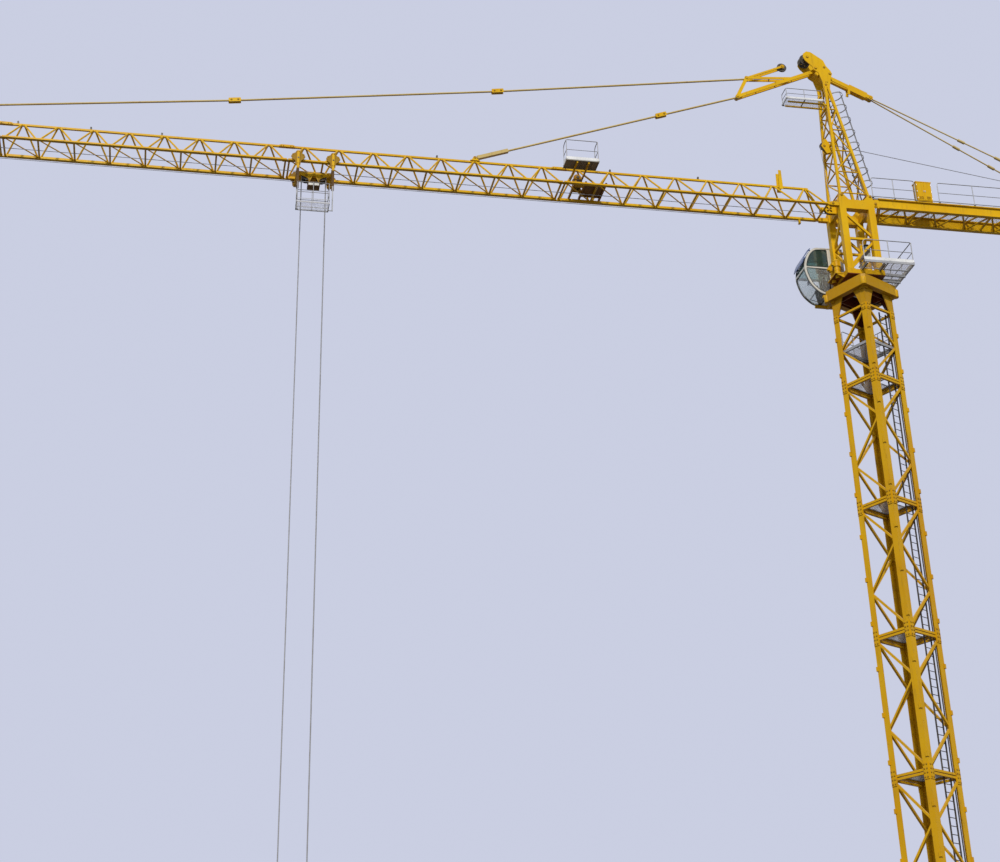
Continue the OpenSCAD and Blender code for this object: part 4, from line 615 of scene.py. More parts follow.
def service_platform():
    s, t = Shape(), Shape()
    c, a, z, x1, y1 = 0.385, 0.4053, J - 1.56, 0.925, -0.715
    grating(s, -0.15, y1, 0.385, -c - 0.0003, z + 0.022)
    grating(s, 0.385, y1, x1, -c - 0.0003, z + 0.022)
    grating(s, c + 0.0003, -c, x1, 0.0, z + 0.022)
    grating(s, c + 0.0003, 0.0, x1, c, z + 0.022)
    for x in (-0.1, 0.28):
        s.box((x, y1 + 0.008, z - 0.06), (x + 0.03, -a, z + 0.001))
    for y in (-0.25, 0.0, 0.25):
        s.box((a, y, z - 0.06), (x1 - 0.008, y + 0.03, z + 0.001))
    s.box((-0.15, y1, z - 0.03), (x1, y1 + 0.01, z))
    s.box((x1 - 0.01, y1 + 0.01, z - 0.03), (x1, c, z))
    rail(s, [(-0.14, y1 + 0.016), (0.4, y1 + 0.016), (x1 - 0.016, y1 + 0.016), (x1 - 0.016, -0.15),
        (x1 - 0.016, c - 0.012)], z + 0.022, RAIL_H, bend=0.11, toes=t)
    s.done("service_platform_open", ZINC, replaces=["service_platform"])
    t.done("service_platform_boards", ZINC_SUNLIT_COPY)


def head_platform():
    s, t = Shape(), Shape()
    z = HEAD_Z - 0.43 + 0.0003
    x0, x1, y0, y1 = -1.24, -0.4, -0.3, -0.008
    grating(s, x0, y0, -0.82, y1, z + 0.022)
    grating(s, -0.82, y0, x1, y1, z + 0.022)
    rail(s, [(x0 + 0.016, y1 - 0.012), (x0 + 0.016, y0 + 0.016), (-0.82, y0 + 0.016), (x1 - 0.012, y0 + 0.016)],
        z + 0.022, 0.265, 0.008, 0.04, bend=0.035, toes=t)
    s.done("head_platform_open", ZINC, replaces=["head_platform"])
    t.done("head_platform_boards", ZINC_SUNLIT_COPY)


def winch_platform():
    s, t, d = Shape(), Shape(), Shape()
    x0, z, y, l, w = -6.3025, J + 0.3753, -0.355, 0.68, 0.33
    ya, yb = y + 0.07 - w, y + 0.07
    d.box((x0 - 0.008, ya + 0.002, z + 0.016), (x0 + l + 0.008, yb, z + 0.0215))
    for a in (x0 - 0.01, x0 + l + 0.004):
        d.box((a, ya + 0.006, z), (a + 0.006, yb - 0.006, z + 0.0218))
    for a in (ya, yb - 0.006):
        d.box((x0 - 0.01, a, z), (x0 + l + 0.01, a + 0.006, z + 0.0218))
    for k in range(1, 6):
        a = x0 + l * k / 6
        d.box((a - 0.003, ya + 0.005, z + 0.001), (a + 0.003, yb - 0.005, z + 0.0165))
    d.done("winch_platform_deck", DECK, replaces=["winch_platform"])
    rail(s, [(x0 + 0.006, y + 0.008), (x0 + 0.006, y + 0.086 - w), (x0 + l - 0.006, y + 0.086 - w),
        (x0 + l - 0.006, y + 0.008)], z + 0.022, RAIL_H, r=0.0085, bend=0.1, toes=t)
    s.done("winch_platform_rails", ZINC)
    t.done("winch_platform_boards", ZINC_SUNLIT_COPY)


def counter_walkway():
    s = Shape()
    g, z = 0.3, J + 0.2353
    x0, x1, cx, cl = 0.393, 5.848, 1.41, 0.33
    bays = 7
    for k in range(bays):
        grating(s, x0 + (x1 - x0) * k / bays, -g - 0.03, x0 + (x1 - x0) * (k + 1) / bays, g + 0.03, z + 0.0155)
    nb = round((cx - 0.04 - x0) / 0.52)
    na = round((x1 - cx - cl - 0.15) / 0.78)
    xb = [x0 + 0.012 + i * (cx - 0.052 - x0) / nb for i in range(nb + 1)]
    xa = [cx + cl + 0.15 + i * (x1 - 0.012 - cx - cl - 0.15) / na for i in range(na + 1)]
    xc = [x0 + 0.012 + i * (x1 - 0.024 - x0) / (nb + na) for i in range(nb + na + 1)]
    for xs, y in ((xb, -g - 0.046), (xa, -g - 0.046)):
        rail(s, [(x, y) for x in xs], z + 0.006, 0.5, 0.009, 0)
        for x in xs:
            s.box((x - 0.012, y - 0.01, z), (x + 0.012, y + 0.032, z + 0.006))
    rail(s, [(x, g + 0.046) for x in reversed(xc)], z + 0.006, 0.5, 0.009, 0)
    for x in xc:
        s.box((x - 0.012, g + 0.014, z), (x + 0.012, g + 0.056, z + 0.006))
    s.done("counter_walkway_open", ZINC, replaces=["counter_walkway"])


def rest_platforms():
    s = Shape(turned=True)
    face = 0.43 - 0.008 - 0.044
    a, m = face + 0.012, face - 0.0003
    hole = (0.19 - 0.095 - 0.055, -(face - 0.062) - 0.045, 0.19 + 0.095 + 0.055, -(face - 0.062) + 0.23)
    for i in range(2, 8):
        z = mast_z(i) + 0.0526
        grating(s, -a + 0.03, -a + 0.03, a - 0.03, a - 0.03, z + 0.012, 0.022, hole)
        for k in (-1, 1):
            s.box((-a + 0.04, k * (a - 0.02) - 0.02, z), (a - 0.04, k * (a - 0.02) + 0.02, z + 0.01))
            s.box((k * (a - 0.02) - 0.02, -a + 0.04, z), (k * (a - 0.02) + 0.02, a - 0.04, z + 0.01))
    z = mast_z(7) + 0.815
    grating(s, -m, -m, m, m, z + 0.012, 0.022, hole)
    for k in (-1, 1):
        s.box((-m, k * (m - 0.018) - 0.018, z - 0.044), (m, k * (m - 0.018) + 0.018, z - 0.008))
        s.box((k * (m - 0.018) - 0.018, -m, z - 0.044), (k * (m - 0.018) + 0.018, m, z - 0.008))
    rail(s, [(m - 0.018, -m + 0.05), (m - 0.018, 0.0), (m - 0.018, m - 0.05)], z + 0.012, 0.48, 0.009, 0.05)
    rail(s, [(m - 0.05, m - 0.018), (0.0, m - 0.018), (-m + 0.05, m - 0.018)], z + 0.012, 0.48, 0.009, 0.05)
    s.done("rest_platforms_open", ZINC, "mast", replaces=["rest_platforms"])


def trolley_basket():
    s = Shape()
    x, y1, z, l = -11.55, -0.381, J - 1.215, 0.664
    y0 = y1 - 0.32
    x0, x1 = x - l / 2, x + l / 2
    grating(s, x0 + 0.0015, y0 + 0.0015, x1 - 0.0015, y1 - 0.0015, z + 0.0225, 0.026)
    r = 0.0065
    for u in (x0 + 0.012, x, x1 - 0.012):
        for v in (y0 + 0.012, y1 - 0.012):
            s.tube((u, v, z + 0.002), (u, v, z + 0.484), r)
    for k in (0.485, 0.25):
        s.bent([(x0 + 0.012, y1 - 0.012, z + k), (x0 + 0.012, y0 + 0.012, z + k), (x1 - 0.012, y0 + 0.012, z + k),
            (x1 - 0.012, y1 - 0.012, z + k)], 0.04, r)
        s.tube((x0 + 0.012, y1 - 0.012, z + k), (x1 - 0.012, y1 - 0.012, z + k), r)
    for a, b in border(x0, y0, x1, y1, 0.004):
        s.box((*a, z), (*b, z + 0.03))
        s.box((*a, z + 0.085), (*b, z + 0.097))
    for px, lo, hi in ((-11.858, x0, x0 + 0.04), (-11.142, x1 - 0.02, -11.131)):
        s.box((px - 0.012, -0.4463, z + 0.002), (px + 0.012, -0.4323, J - 0.622))
        s.box((lo, -0.4455, z), (hi, -0.4331, z + 0.018))
        for h in (J - 0.64, J - 0.69):
            s.bolt((px, -0.4463, h), (0, -1, 0), 0.006, 0.006)
    s.done("trolley_basket_open", ZINC, "trolley", replaces=["trolley_basket"])


service_platform()
head_platform()
winch_platform()
counter_walkway()
rest_platforms()
trolley_basket()


# ---- fasteners of the standing part
def mast_bolts():
    s = Shape(turned=True)
    for i in range(1, 8):
        z0 = mast_z(i) + 0.0003
        h = (2.65 if i < 7 else 1.63) - 0.0003
        for k in range(4):
            turn = Matrix.Rotation(radians(90 * k), 4, "Z")
            for z in (0.0, h - 0.15):
                for u in (0.338, 0.396):
                    for w in (0.036, 0.114):
                        for p, axis in (((0.442, u), (1, 0, 0)), ((u, 0.442), (0, 1, 0))):
                            s.bolt(turn @ Vector((*p, z0 + z + w)), turn @ Vector(axis), 0.0135, 0.012)
    s.done("mast_bolts", PAINTED, "mast")


def base_fasteners():
    s, g = Shape(), Shape()
    for k in range(4):
        turn = Matrix.Rotation(MAST_TURN + radians(45 + 90 * k), 4, "Z")
        for u, v in around(4, 0.125, 0.5):
            p = turn @ Vector((1.35 + u, v, 0.02))
            for r, low, high, tip, n in ((0.024, 0.0, 0.004, 0.022, 20), (0.0165, 0.004, 0.019, 0.014, 6),
                    (0.0165, 0.022, 0.034, 0.014, 6), (0.0095, 0.0, 0.06, 0.008, 16)):
                s.lathe(p, UP, [(r, low), (r, high), (tip, high + {20: 0.001, 6: 0.002, 16: 0.003}[n])], n)
        for side in (-1, 1):
            for x in (1.215, 1.32):
                y = side * 0.0695
                outline = ((y, 0.0195), (y + side * 0.085, 0.0195), (y + side * 0.085, 0.034), (y, 0.17))
                g.rings([[turn @ Vector((u, *p)) for p in outline] for u in (x, x + 0.01)])
        end = mm(-66, 30, 66, 30, 66, 244, -66, 244)
        g.rings([[turn @ Vector((x, *p)) for p in end] for x in (1.3495, 1.3585)])
    s.done("anchor_nuts", BOLTS, "mast")
    g.done("base_gussets", YELLOW, "mast")


def ring_bolts():
    s = Shape()
    for x, y in around(36, 0.3725):
        s.bolt((x, y, 18.3505), DOWN, 0.0105, 0.014, 0.006)
    s.done("ring_bolts", BOLTS, "mast")
    s = Shape()
    for x, y in around(36, 0.3995, 0.5):
        s.lathe((x, y, 18.4155), (x, y, 0), mm(6.5, 0, 6.5, 6, 4.5, 8), 6)
    s.lathe((0, 0, 18.4525), UP, mm(388.5, 0, 394.5, 1, 394.5, 6, 388.5, 7), 96)
    s.done("ring_grease_points", BOLTS, "mast")


def mast_cable():
    s = Shape(turned=True)
    x, y = 0.315, -0.36
    route = [(x, y, 0.62), (x, y, 6.0), (x, y, 12.0), (x, y, 17.76), (x - 0.03, y + 0.05, 17.98),
        (0.05, -0.05, 18.06), (0.0, 0.0, 18.12), (0.0, 0.0, 18.22)]
    s.bent(route, 0.07, 0.0115, 12, 6)
    s.done("mast_cable", RUBBER, "mast")
    s = Shape(turned=True)
    for i in range(1, 8):
        z0 = mast_z(i)
        for z in (z0 + 0.03, z0 + (1.6 if i == 7 else 2.62)):
            if z > 0.6:
                s.box((x - 0.024, y - 0.0176, z - 0.012), (x + 0.024, y + 0.016, z + 0.012))
                for u in (-0.018, 0.018):
                    s.bolt((x + u, y + 0.016, z), (0, 1, 0), 0.004, 0.004)
    s.box((-0.2895, -0.016, 18.155), (0.2895, 0.016, 18.168))
    s.box((-0.2895, -0.016, 18.168), (-0.2775, 0.016, 18.24))
    s.box((0.2775, -0.016, 18.168), (0.2895, 0.016, 18.24))
    s.lathe((0, 0, 18.168), UP, mm(52, 0, 58, 6, 58, 30, 50, 34, 50, 120, 56, 124, 56, 150, 30, 160, 22, 175), 40)
    s.done("cable_collector", GALV, "mast")
    s = Shape()
    s.bent([(0, 0, 18.347), (0, 0, 18.72), (0.16, 0.18, 18.8), (0.262, 0.262, 18.86), (0.262, 0.262, 20.1)], 0.08,
        0.0115, 12, 6)
    s.done("tower_cable", RUBBER)
    s = Shape()
    for z in (18.95, 19.3, 19.65, 20.00):
        s.box((0.2445, 0.2445, z - 0.01), (0.28, 0.28, z + 0.01))
    s.done("tower_cable_clips", GALV)


# ---- slewing tower, jib and counter-jib
def split_pin(s, p, axis, reach, r=0.019, head=0.029):
    """A pin with a head on one side and a washer with a split pin on the other"""
    axis = Vector(axis).normalized()
    p = Vector(p)
    s.lathe(p, axis, [(r, -reach), (r, reach)])
    s.lathe(p + axis * reach * 0.8, axis, [(head * 0.9, 0), (head, 0.002), (head, reach * 0.2),
        (head * 0.85, reach * 0.2 + 0.002)])
    s.lathe(p - axis * reach * 0.8, -axis, [(head * 0.95, 0), (head * 0.95, 0.004)])
    side = axis.orthogonal().normalized()
    q = p - axis * (reach - 0.006)
    s.tube(q - side * head * 1.1, q + side * head * 1.1, 0.0028)


def tower_fasteners():
    s = Shape()
    for sx in (-1, 1):
        for sy in (-1, 1):
            c = Vector((sx * COLUMN, sy * COLUMN, 0))
            split_pin(s, c + Vector((0, 0, J + 0.225)), (0, sy, 0), 0.086, 0.0185, 0.027)
            for dx in (-0.062, 0.062):
                for dy in (-0.078, 0.078):
                    s.bolt(c + Vector((dy, dx * 0.75, TABLE_Z + 0.018)), UP, 0.009, 0.01, 0.005)
                    s.bolt(c + Vector((dx * 0.75, dy, TABLE_Z + 0.018)), UP, 0.009, 0.01, 0.005)
        split_pin(s, (-0.52, sx * 0.33, J), (0, sx, 0), 0.056, 0.0194, 0.028)
        split_pin(s, (0.445, sx * 0.3, J + 0.09), (0, sx, 0), 0.046, 0.0194, 0.028)
        split_pin(s, (-0.495, -0.06, J + 0.0116), (0, sx, 0), 0.046, 0.0185, 0.026)
    s.done("tower_pins", PAINTED)
    s = Shape()
    for x in (-COLUMN, COLUMN):
        for y in (-COLUMN, COLUMN):
            s.block(x, y, 0.088, 0.088, TABLE_Z, TABLE_Z + 0.018)
    s.done("column_flanges", YELLOW)


def collar(s, at, d, t, r):
    """Washer and bolt, t high, on the end of a pin that runs along Y"""
    s.lathe(at, (0, d, 0), [(r, 0), (r, t * 0.45), (r * 0.92, t * 0.5)])
    s.lathe(at, (0, d, 0), [(r * 0.62, t * 0.5), (r * 0.62, t * 0.95), (r * 0.5, t)], 6)


def head_fasteners():
    s = Shape()
    for d in (-1, 1):
        for y, t, r, pins in ((CHEEK_Y, 0.02, 0.034, mm(-430, 560, -115, 440, -595, 850)),
                (CHEEK_Y, 0.0115, 0.03, ((-0.23, 0.6), (-0.24, 0.13))),
                (0.0575, 0.01, 0.034, mm(-2000, 220, -2250, -300, -1145, 620, 820, -20))):
            for x, z in pins:
                collar(s, (x, d * y, HEAD_Z + z), d, t, r)
        for foot in (OUTER_FOOT, INNER_FOOT):
            collar(s, (foot.x, d * 0.045, foot.z), d, 0.0085, 0.03)
        for y in (-0.3, 0.3):
            s.lathe((5.948, y + d * 0.037, J + 0.305), (0, d, 0), mm(30, 0, 30, 4, 18, 4.5, 18, 8), 20)
        # bolts of the cheek plates on the head's legs
        for px, pz in mm(-260, -35, -210, -35, -250, 30, -200, 30, -235, 200, -200, 200):
            s.bolt((px, d * 0.1788, HEAD_Z + pz), (0, d, 0), 0.0095, 0.009)
        # pulley bearings under the head
        s.lathe((-0.42, -0.06 + d * 0.0335, J + 1.645), (0, d, 0), mm(30, 0, 30, 4, 17, 4.5, 17, 9), 20)
    s.done("head_pins", PAINTED)


def jib_fasteners():
    s = Shape()
    for i in range(1, 5):
        x = -(section_x(i) + 8 * PANEL + 0.014)
        for d in (-1, 1):
            for u in (-0.078, -0.042, 0.042, 0.078):
                s.bolt((x + u, d * HALF_W, J - 0.0373), DOWN, 0.0095, 0.01, 0.005)
            for u in (-0.125, -0.075, 0.075, 0.125):
                s.bolt((x + u, d * 0.0333, JIB_TOP + 0.001), (0, d, 0), 0.0085, 0.009, 0.004)
    s.done("jib_joint_bolts", PAINTED)
    # rollers that guide a line along the top chord
    s = Shape()
    t = Shape()
    for x in (-17.561, -16.091, -14.648, -8.929, -5.222, -3.303):
        z = JIB_TOP + 0.0208
        s.box((x - 0.03, -0.02, z), (x + 0.03, 0.02, z + 0.005))
        for y in (-0.0205, 0.0165):
            s.box((x - 0.016, y, z + 0.003), (x + 0.016, y + 0.004, z + 0.062))
        s.tube((x, -0.026, z + 0.048), (x, 0.026, z + 0.048), 0.006, 12)
        t.lathe((x, -0.0155, z + 0.048), (0, 1, 0), mm(20, 0, 20, 3, 13, 10, 13, 21, 20, 28, 20, 31))
    s.done("jib_guide_brackets", DARK)
    t.done("jib_guide_rollers", RUBBER)


def tie_couplings():
    """Flat bars with their pins beside each coupling of the ties"""
    s, b = Shape(), Shape()

    def coupling(p, v, half, r, wide):
        v = v.normalized()
        y = Vector((0, 1, 0))
        u = v.cross(y).normalized()
        for d in (-1, 1):
            o = p + y * d * (r * 0.78) - v * half
            s.plate([(0, -wide / 2), (0.02, -wide / 2 - 0.006), (2 * half - 0.02, -wide / 2 - 0.006),
                (2 * half, -wide / 2), (2 * half, wide / 2), (2 * half - 0.02, wide / 2 + 0.006),
                (0.02, wide / 2 + 0.006), (0, wide / 2)], o, v, u, d * 0.012 * (1 if (v.cross(u)).y > 0 else -1))
        for e in (-0.55, 0.55):
            split_pin(b, p + v * half * e, (0, 1, 0), r * 0.78 + 0.024, 0.015, 0.022)

    a, e = OUTER_PIN, OUTER_FOOT
    for k in (0.294, 0.588, 0.882):
        p = a.lerp(e, k) - Vector((0, 0, 4 * 0.15 * k * (1 - k)))
        coupling(p, e - a - Vector((0, 0, 4 * 0.15 * (1 - 2 * k))), 0.13, 0.038, 0.082)
    a, e = INNER_PIN, INNER_FOOT
    coupling(a.lerp(e, 0.3), e - a, 0.13, 0.038, 0.082)
    s.done("tie_coupling_bars", YELLOW)
    b.done("tie_coupling_pins", PAINTED)


def fins(s, at, axis, r0, r1, h0, h1, n=28, a0=0.0, a1=360.0, t=0.0016):
    """Cooling ribs along a motor"""
    axis = Vector(axis).normalized()
    side = axis.orthogonal().normalized()
    up = axis.cross(side)
    at = Vector(at)
    for k in range(n):
        a = radians(a0 + (a1 - a0) * k / (n if a1 - a0 == 360 else n - 1))
        o = cos(a) * side + sin(a) * up
        w = axis.cross(o) * t
        low = [at + o * r0 - w, at + o * r1 - w * 0.6, at + o * r1 + w * 0.6, at + o * r0 + w]
        s.rings([[p + axis * h0 for p in low], [p + axis * h1 for p in low]])


def slewing_motors():
    s, b, c = Shape(), Shape(), Shape()
    for d in (-1, 1):
        at = Vector((-0.5, d * 0.105, 18.641))
        fins(s, at, UP, 0.069, 0.081, 0.196, 0.3, 30)
        s.lathe(at, UP, mm(70.5, 184, 74, 186, 74, 193, 70.5, 195), 40)
        s.lathe(at, UP, mm(75.5, 302, 78, 304, 78, 328, 66, 344, 30, 350, 12, 351), 40)
        s.lathe(at, UP, mm(59, 90, 63, 92, 63, 104, 59, 106), 40)
        x = at.x - 0.076
        s.box((x - 0.034, at.y - 0.03, 18.858), (x + 0.01, at.y + 0.03, 18.918))
        s.box((x - 0.038, at.y - 0.033, 18.862), (x - 0.034, at.y + 0.033, 18.914))
        for u, v in around(10, 0.066):
            b.bolt(at + Vector((u, v, 0.0343)), UP, 0.0055, 0.006, 0.003)
        for u, v in around(8, 0.0645, 0.5):
            b.bolt(at + Vector((u, v, 0.1838)), DOWN, 0.0035, 0.005)
        c.bent([(x - 0.012, at.y, 18.858), (x - 0.012, at.y, 18.77), (-0.43, at.y * 0.4, 18.7), (-0.4, 0.0, 18.652),
            (-0.3, 0.0, 18.652)], 0.03, 0.006, 10, 5)
    s.done("slewing_motor_parts", YELLOW, slot="dark_steel")
    b.done("slewing_motor_bolts", BOLTS)
    c.done("slewing_motor_cables", RUBBER)


def ring_corners():
    """Rounded ends of the ring support's beams"""
    s = Shape(turned=True)
    for x in (-0.487, 0.487):
        for y in (-0.487, 0.487):
            s.lathe((x, y, 18.128), UP, mm(50, 0, 58, 3, 62, 12, 62, 160, 56, 176, 40, 186), 32)
    s.done("ring_support_corners", YELLOW_MAST, "mast", angle=50)


def gear_motor():
    """The upright gear motor that the photograph shows between the tower's columns"""
    x, y, z = 0.165, -0.19, TABLE_Z
    s, g, d = Shape(), Shape(), Shape()
    s.box((x - 0.12, y - 0.1, z), (x + 0.075, y + 0.105, z + 0.02))
    s.lathe((x, y, z + 0.02), UP, mm(78, 0, 78, 14, 66, 18, 66, 150, 72, 154, 72, 170, 60, 174, 60, 262, 74, 266,
        74, 286), 40)
    s.done("gear_motor_case", YELLOW)
    fins(g, (x, y, z), UP, 0.06, 0.076, 0.318, 0.56, 34)
    g.lathe((x, y, z), UP, mm(76, 304, 76, 318, 62, 320, 62, 560, 76, 562, 76, 580), 40)
    g.box((x - 0.112, y - 0.035, z + 0.39), (x - 0.056, y + 0.035, z + 0.47))
    g.done("gear_motor_body", GREY_ENAMEL)
    d.lathe((x, y, z), UP, mm(62, 580, 62, 604, 78, 606, 78, 655, 60, 668, 24, 670, 24, 690, 72, 694, 76, 700, 60,
        716, 20, 724), 40)
    d.bent([(x - 0.112, y, z + 0.41), (x - 0.15, y, z + 0.4), (x - 0.15, y, z + 0.1), (x - 0.15, y, z + 0.001)],
        0.03, 0.007, 10, 5)
    d.done("gear_motor_cover", MOTOR)


def rope_turns(s, at, r, rope_r, y0, y1, segments=36):
    count = int((y1 - y0) / (2.05 * rope_r))
    for k in range(count):
        y = y0 + rope_r + (y1 - y0 - 2 * rope_r) * k / max(1, count - 1)
        ring = []
        for j in range(segments + 1):
            a = 2 * pi * j / segments
            ring.append(Vector((at[0] + r * cos(a), y + (j / segments - 0.5) * 0.3 * rope_r, at[1] + r * sin(a))))
        s.sweep(ring, rope_r, 6)


def trolley_winch_parts():
    x = -5.9525
    s = Shape()
    rope_turns(s, (x, J + 0.31), 0.0655, 0.0055, -0.064, 0.064)
    s.done("trolley_drum_rope", ROPE)
    s, b = Shape(), Shape()
    fins(s, (x, 0, J + 0.165), (0, 1, 0), 0.065, 0.075, -0.084, 0.084, 22, 60, 300)
    for d in (-1, 1):
        y = d * 0.1032
        for z, r in ((J + 0.31, 0.034), (J + 0.165, 0.052)):
            s.lathe((x, y, z), (0, d, 0), [(r, 0), (r, 0.01), (r * 0.86, 0.013), (r * 0.5, 0.013),
                (r * 0.45, 0.02)], 32)
            for u, v in around(6, r * 0.78):
                b.bolt((x + u, y + d * 0.0115, z + v), (0, d, 0), 0.0045, 0.005)
    s.box((x - 0.045, -0.178, J + 0.135), (x + 0.045, -0.103, J + 0.205))
    s.box((x - 0.048, -0.181, J + 0.1405), (x + 0.048, -0.1775, J + 0.1995))
    s.lathe((x, 0.103, J + 0.165), (0, 1, 0), mm(60, 0, 60, 70, 52, 82, 16, 86), 36)
    s.done("trolley_winch_motor", BROWN_MOTOR)
    b.done("trolley_winch_bolts", BOLTS)


def hoist_winch_parts():
    s, b, c = Shape(), Shape(), Shape()
    drum_x, drum_z, motor_x, motor_z = 6.448, J + 0.5353, 6.798, J + 0.4903
    rope_turns(s, (drum_x, drum_z), 0.157, 0.007, -0.177, 0.177, 40)
    rope_turns(s, (drum_x, drum_z), 0.1695, 0.007, -0.17, -0.052, 40)
    s.done("hoist_drum_rope", ROPE)
    s = Shape()
    at = (motor_x, 0, motor_z)
    fins(s, at, (0, 1, 0), 0.094, 0.108, -0.17, 0.1, 40)
    s.lathe(at, (0, 1, 0), mm(95.5, -225, 104, -222, 108, -205, 108, -178, 95.5, -174), 44)
    s.lathe(at, (0, 1, 0), mm(95.5, 106, 106, 108, 106, 126, 95.5, 128), 44)
    s.box((6.753, -0.06, J + 0.59), (6.843, 0.05, J + 0.64))
    s.box((6.749, -0.064, J + 0.64), (6.847, 0.054, J + 0.646))
    # gear case beside the drum with its ribs, then the covers of the drum's two ends
    s.box((6.5, 0.25, J + 0.3), (6.88, 0.318, J + 0.6))
    for k in range(6):
        s.box((6.52 + k * 0.064, 0.318, J + 0.32), (6.528 + k * 0.064, 0.326, J + 0.58))
    s.lathe((drum_x, 0.246, drum_z), (0, 1, 0), mm(85, 0, 85, 50, 70, 60, 30, 62), 36)
    s.lathe((drum_x, -0.246, drum_z), (0, -1, 0), mm(60, 0, 60, 22, 48, 30, 20, 31), 36)
    for n, r, x, y, z, d, size in ((10, 0.073, drum_x, 0.2965, drum_z, 1, 0.006),
            (10, 0.1, motor_x, 0.1275, motor_z, 1, 0.0045), (6, 0.05, drum_x, -0.2705, drum_z, -1, 0.006)):
        for u, v in around(n, r):
            b.bolt((x + u, y, z + v), (0, d, 0), size, 0.006)
    for x in (6.21, 6.36, 6.62, 6.76, 6.92):
        for y in (-0.3, 0.3):
            b.bolt((x, y, J + 0.2753), UP, 0.01, 0.011, 0.006)
    c.bent([(6.798, -0.064, J + 0.615), (6.798, -0.13, J + 0.615), (6.86, -0.245, J + 0.56),
        (6.95, -0.245, J + 0.3), (6.95, -0.245, J + 0.278)], 0.04, 0.009, 10, 5)
    s.done("hoist_winch_machinery", MOTOR)
    b.done("hoist_winch_bolts", BOLTS)
    c.done("hoist_winch_cable", RUBBER)


def cabinet_parts():
    x0, x1, y, z0, z1 = 1.41, 1.74, -0.3502, J + 0.2516, J + 0.7216
    xm = (x0 + x1) / 2
    s, b = Shape(), Shape()
    for a, c in ((x0 + 0.008, xm - 0.0015), (xm + 0.0015, x1 - 0.008)):
        s.rings([front(a + e, c - e, z0 + 0.018 + e, z1 - 0.008 - e, y + v) for e, v in mm(0, 0.5, 0, -7, 3, -9)])
        for k in range(6):
            w = z0 + 0.05 + k * 0.013
            s.rings([front(a + 0.03, c - 0.03, w, w + 0.003, y - 0.0085),
                front(a + 0.03, c - 0.03, w - 0.006, w - 0.004, y - 0.0135)])
    s.box((x0 - 0.001, y + 0.014, z0 + 0.06), (x0 - 0.005, y + 0.12, z0 + 0.3))
    s.done("cabinet_doors", YELLOW)
    for x in (x0 + 0.007, x1 - 0.007):
        for w in (z0 + 0.07, z0 + 0.235, z0 + 0.4):
            b.lathe((x, y - 0.008, w - 0.016), UP, mm(4.5, 0, 5.5, 1, 5.5, 31, 4.5, 32), 14)
    for d in (-1, 1):
        b.lathe((xm + d * 0.018, y - 0.009, z0 + 0.25), (0, -1, 0), mm(10, 0, 10, 4, 6, 5, 6, 10), 20)
        b.box((xm + d * 0.018 - 0.004, y - 0.021, z0 + 0.215), (xm + d * 0.018 + 0.004, y - 0.015, z0 + 0.256))
    for x in (x0 + 0.05, x0 + 0.11, x1 - 0.11, x1 - 0.05):
        b.lathe((x, -0.2, z0 + 0.4702 + 0.0202), UP, mm(7, 0, 7, 6, 3, 8), 14)
    b.done("cabinet_fittings", BRIGHT)


def ballast_parts():
    s = Shape()
    x0, pitch = 7.028, 0.212
    x1 = x0 + 4 * pitch - 0.012
    for y in (-0.15, 0.15):
        for z in (J - 0.62, J + 0.02):
            s.tube((x0 - 0.032, y, z), (x1 + 0.032, y, z), 0.01, 16)
            for x, d in ((x0, -1), (x1, 1)):
                s.box((x + (0 if d > 0 else -0.008), y - 0.035, z - 0.035),
                    (x + (0.008 if d > 0 else 0), y + 0.035, z + 0.035))
                s.bolt((x + d * 0.008, y, z), (d, 0, 0), 0.02, 0.017)
    for i in range(4):
        x = x0 + i * pitch + 0.1
        for y in (-0.17, 0.17):
            z = J + 0.3253
            loop = [Vector((x, y - 0.026, z - 0.002))]
            loop += [Vector((x, y - 0.026 * cos(a), z + 0.022 + 0.026 * sin(a)))
                for a in (pi * k / 10 for k in range(11))]
            loop.append(Vector((x, y + 0.026, z - 0.002)))
            s.sweep(loop, 0.0065)
    s.done("ballast_fittings", BOLTS)


# ---- cab
CAB_X, CAB_Y, CAB_Z, CAB_L, CAB_W, CAB_H = -0.1, 0.695, 18.4613, 0.875, 0.55, 1.14
KNOTS = [(0, 0), (0.37, 0.004), (0.61, 0.026), (0.76, 0.105), (0.89, 0.23), (0.975, 0.41), (1, 0.57),
    (0.955, 0.735), (0.85, 0.89), (0.715, 0.98), (0.55, 1), (0, 1)]


def cab_curve():
    out = [KNOTS[0]]
    for i in range(1, len(KNOTS) - 2):
        for k in range(3):
            t = k / 3
            a, b, c, d = (Vector(KNOTS[j]) for j in (i - 1, i, i + 1, i + 2))
            q = (2 * b + (c - a) * t + (2 * a - 5 * b + 4 * c - d) * t * t + (3 * b - a - 3 * c + d) * t ** 3) / 2
            out.append((q.x, q.y))
    out += KNOTS[-2:]
    return [Vector((q[0] * CAB_L, q[1] * CAB_H)) for q in out]


def inward(curve, i):
    out = []
    n = len(curve)
    for k in range(n):
        a, b, d = curve[k - 1], curve[k], curve[(k + 1) % n]
        u, v = (b - a).normalized(), (d - b).normalized()
        w = u + v
        nrm = Vector((-w.y, w.x)).normalized()
        out.append(b + nrm * i / nrm.dot(Vector((-u.y, u.x))))
    return out


def clip(poly, axis, limit, keep_above):
    out = []
    for k in range(len(poly)):
        a, b = poly[k - 1], poly[k]
        ina = (a[axis] >= limit) == keep_above
        inb = (b[axis] >= limit) == keep_above
        if ina != inb:
            out.append(a.lerp(b, (limit - a[axis]) / (b[axis] - a[axis])))
        if inb:
            out.append(b.copy())
    return out


def cab_place(q, y):
    return Vector((CAB_X - q.x, y, CAB_Z + q.y))


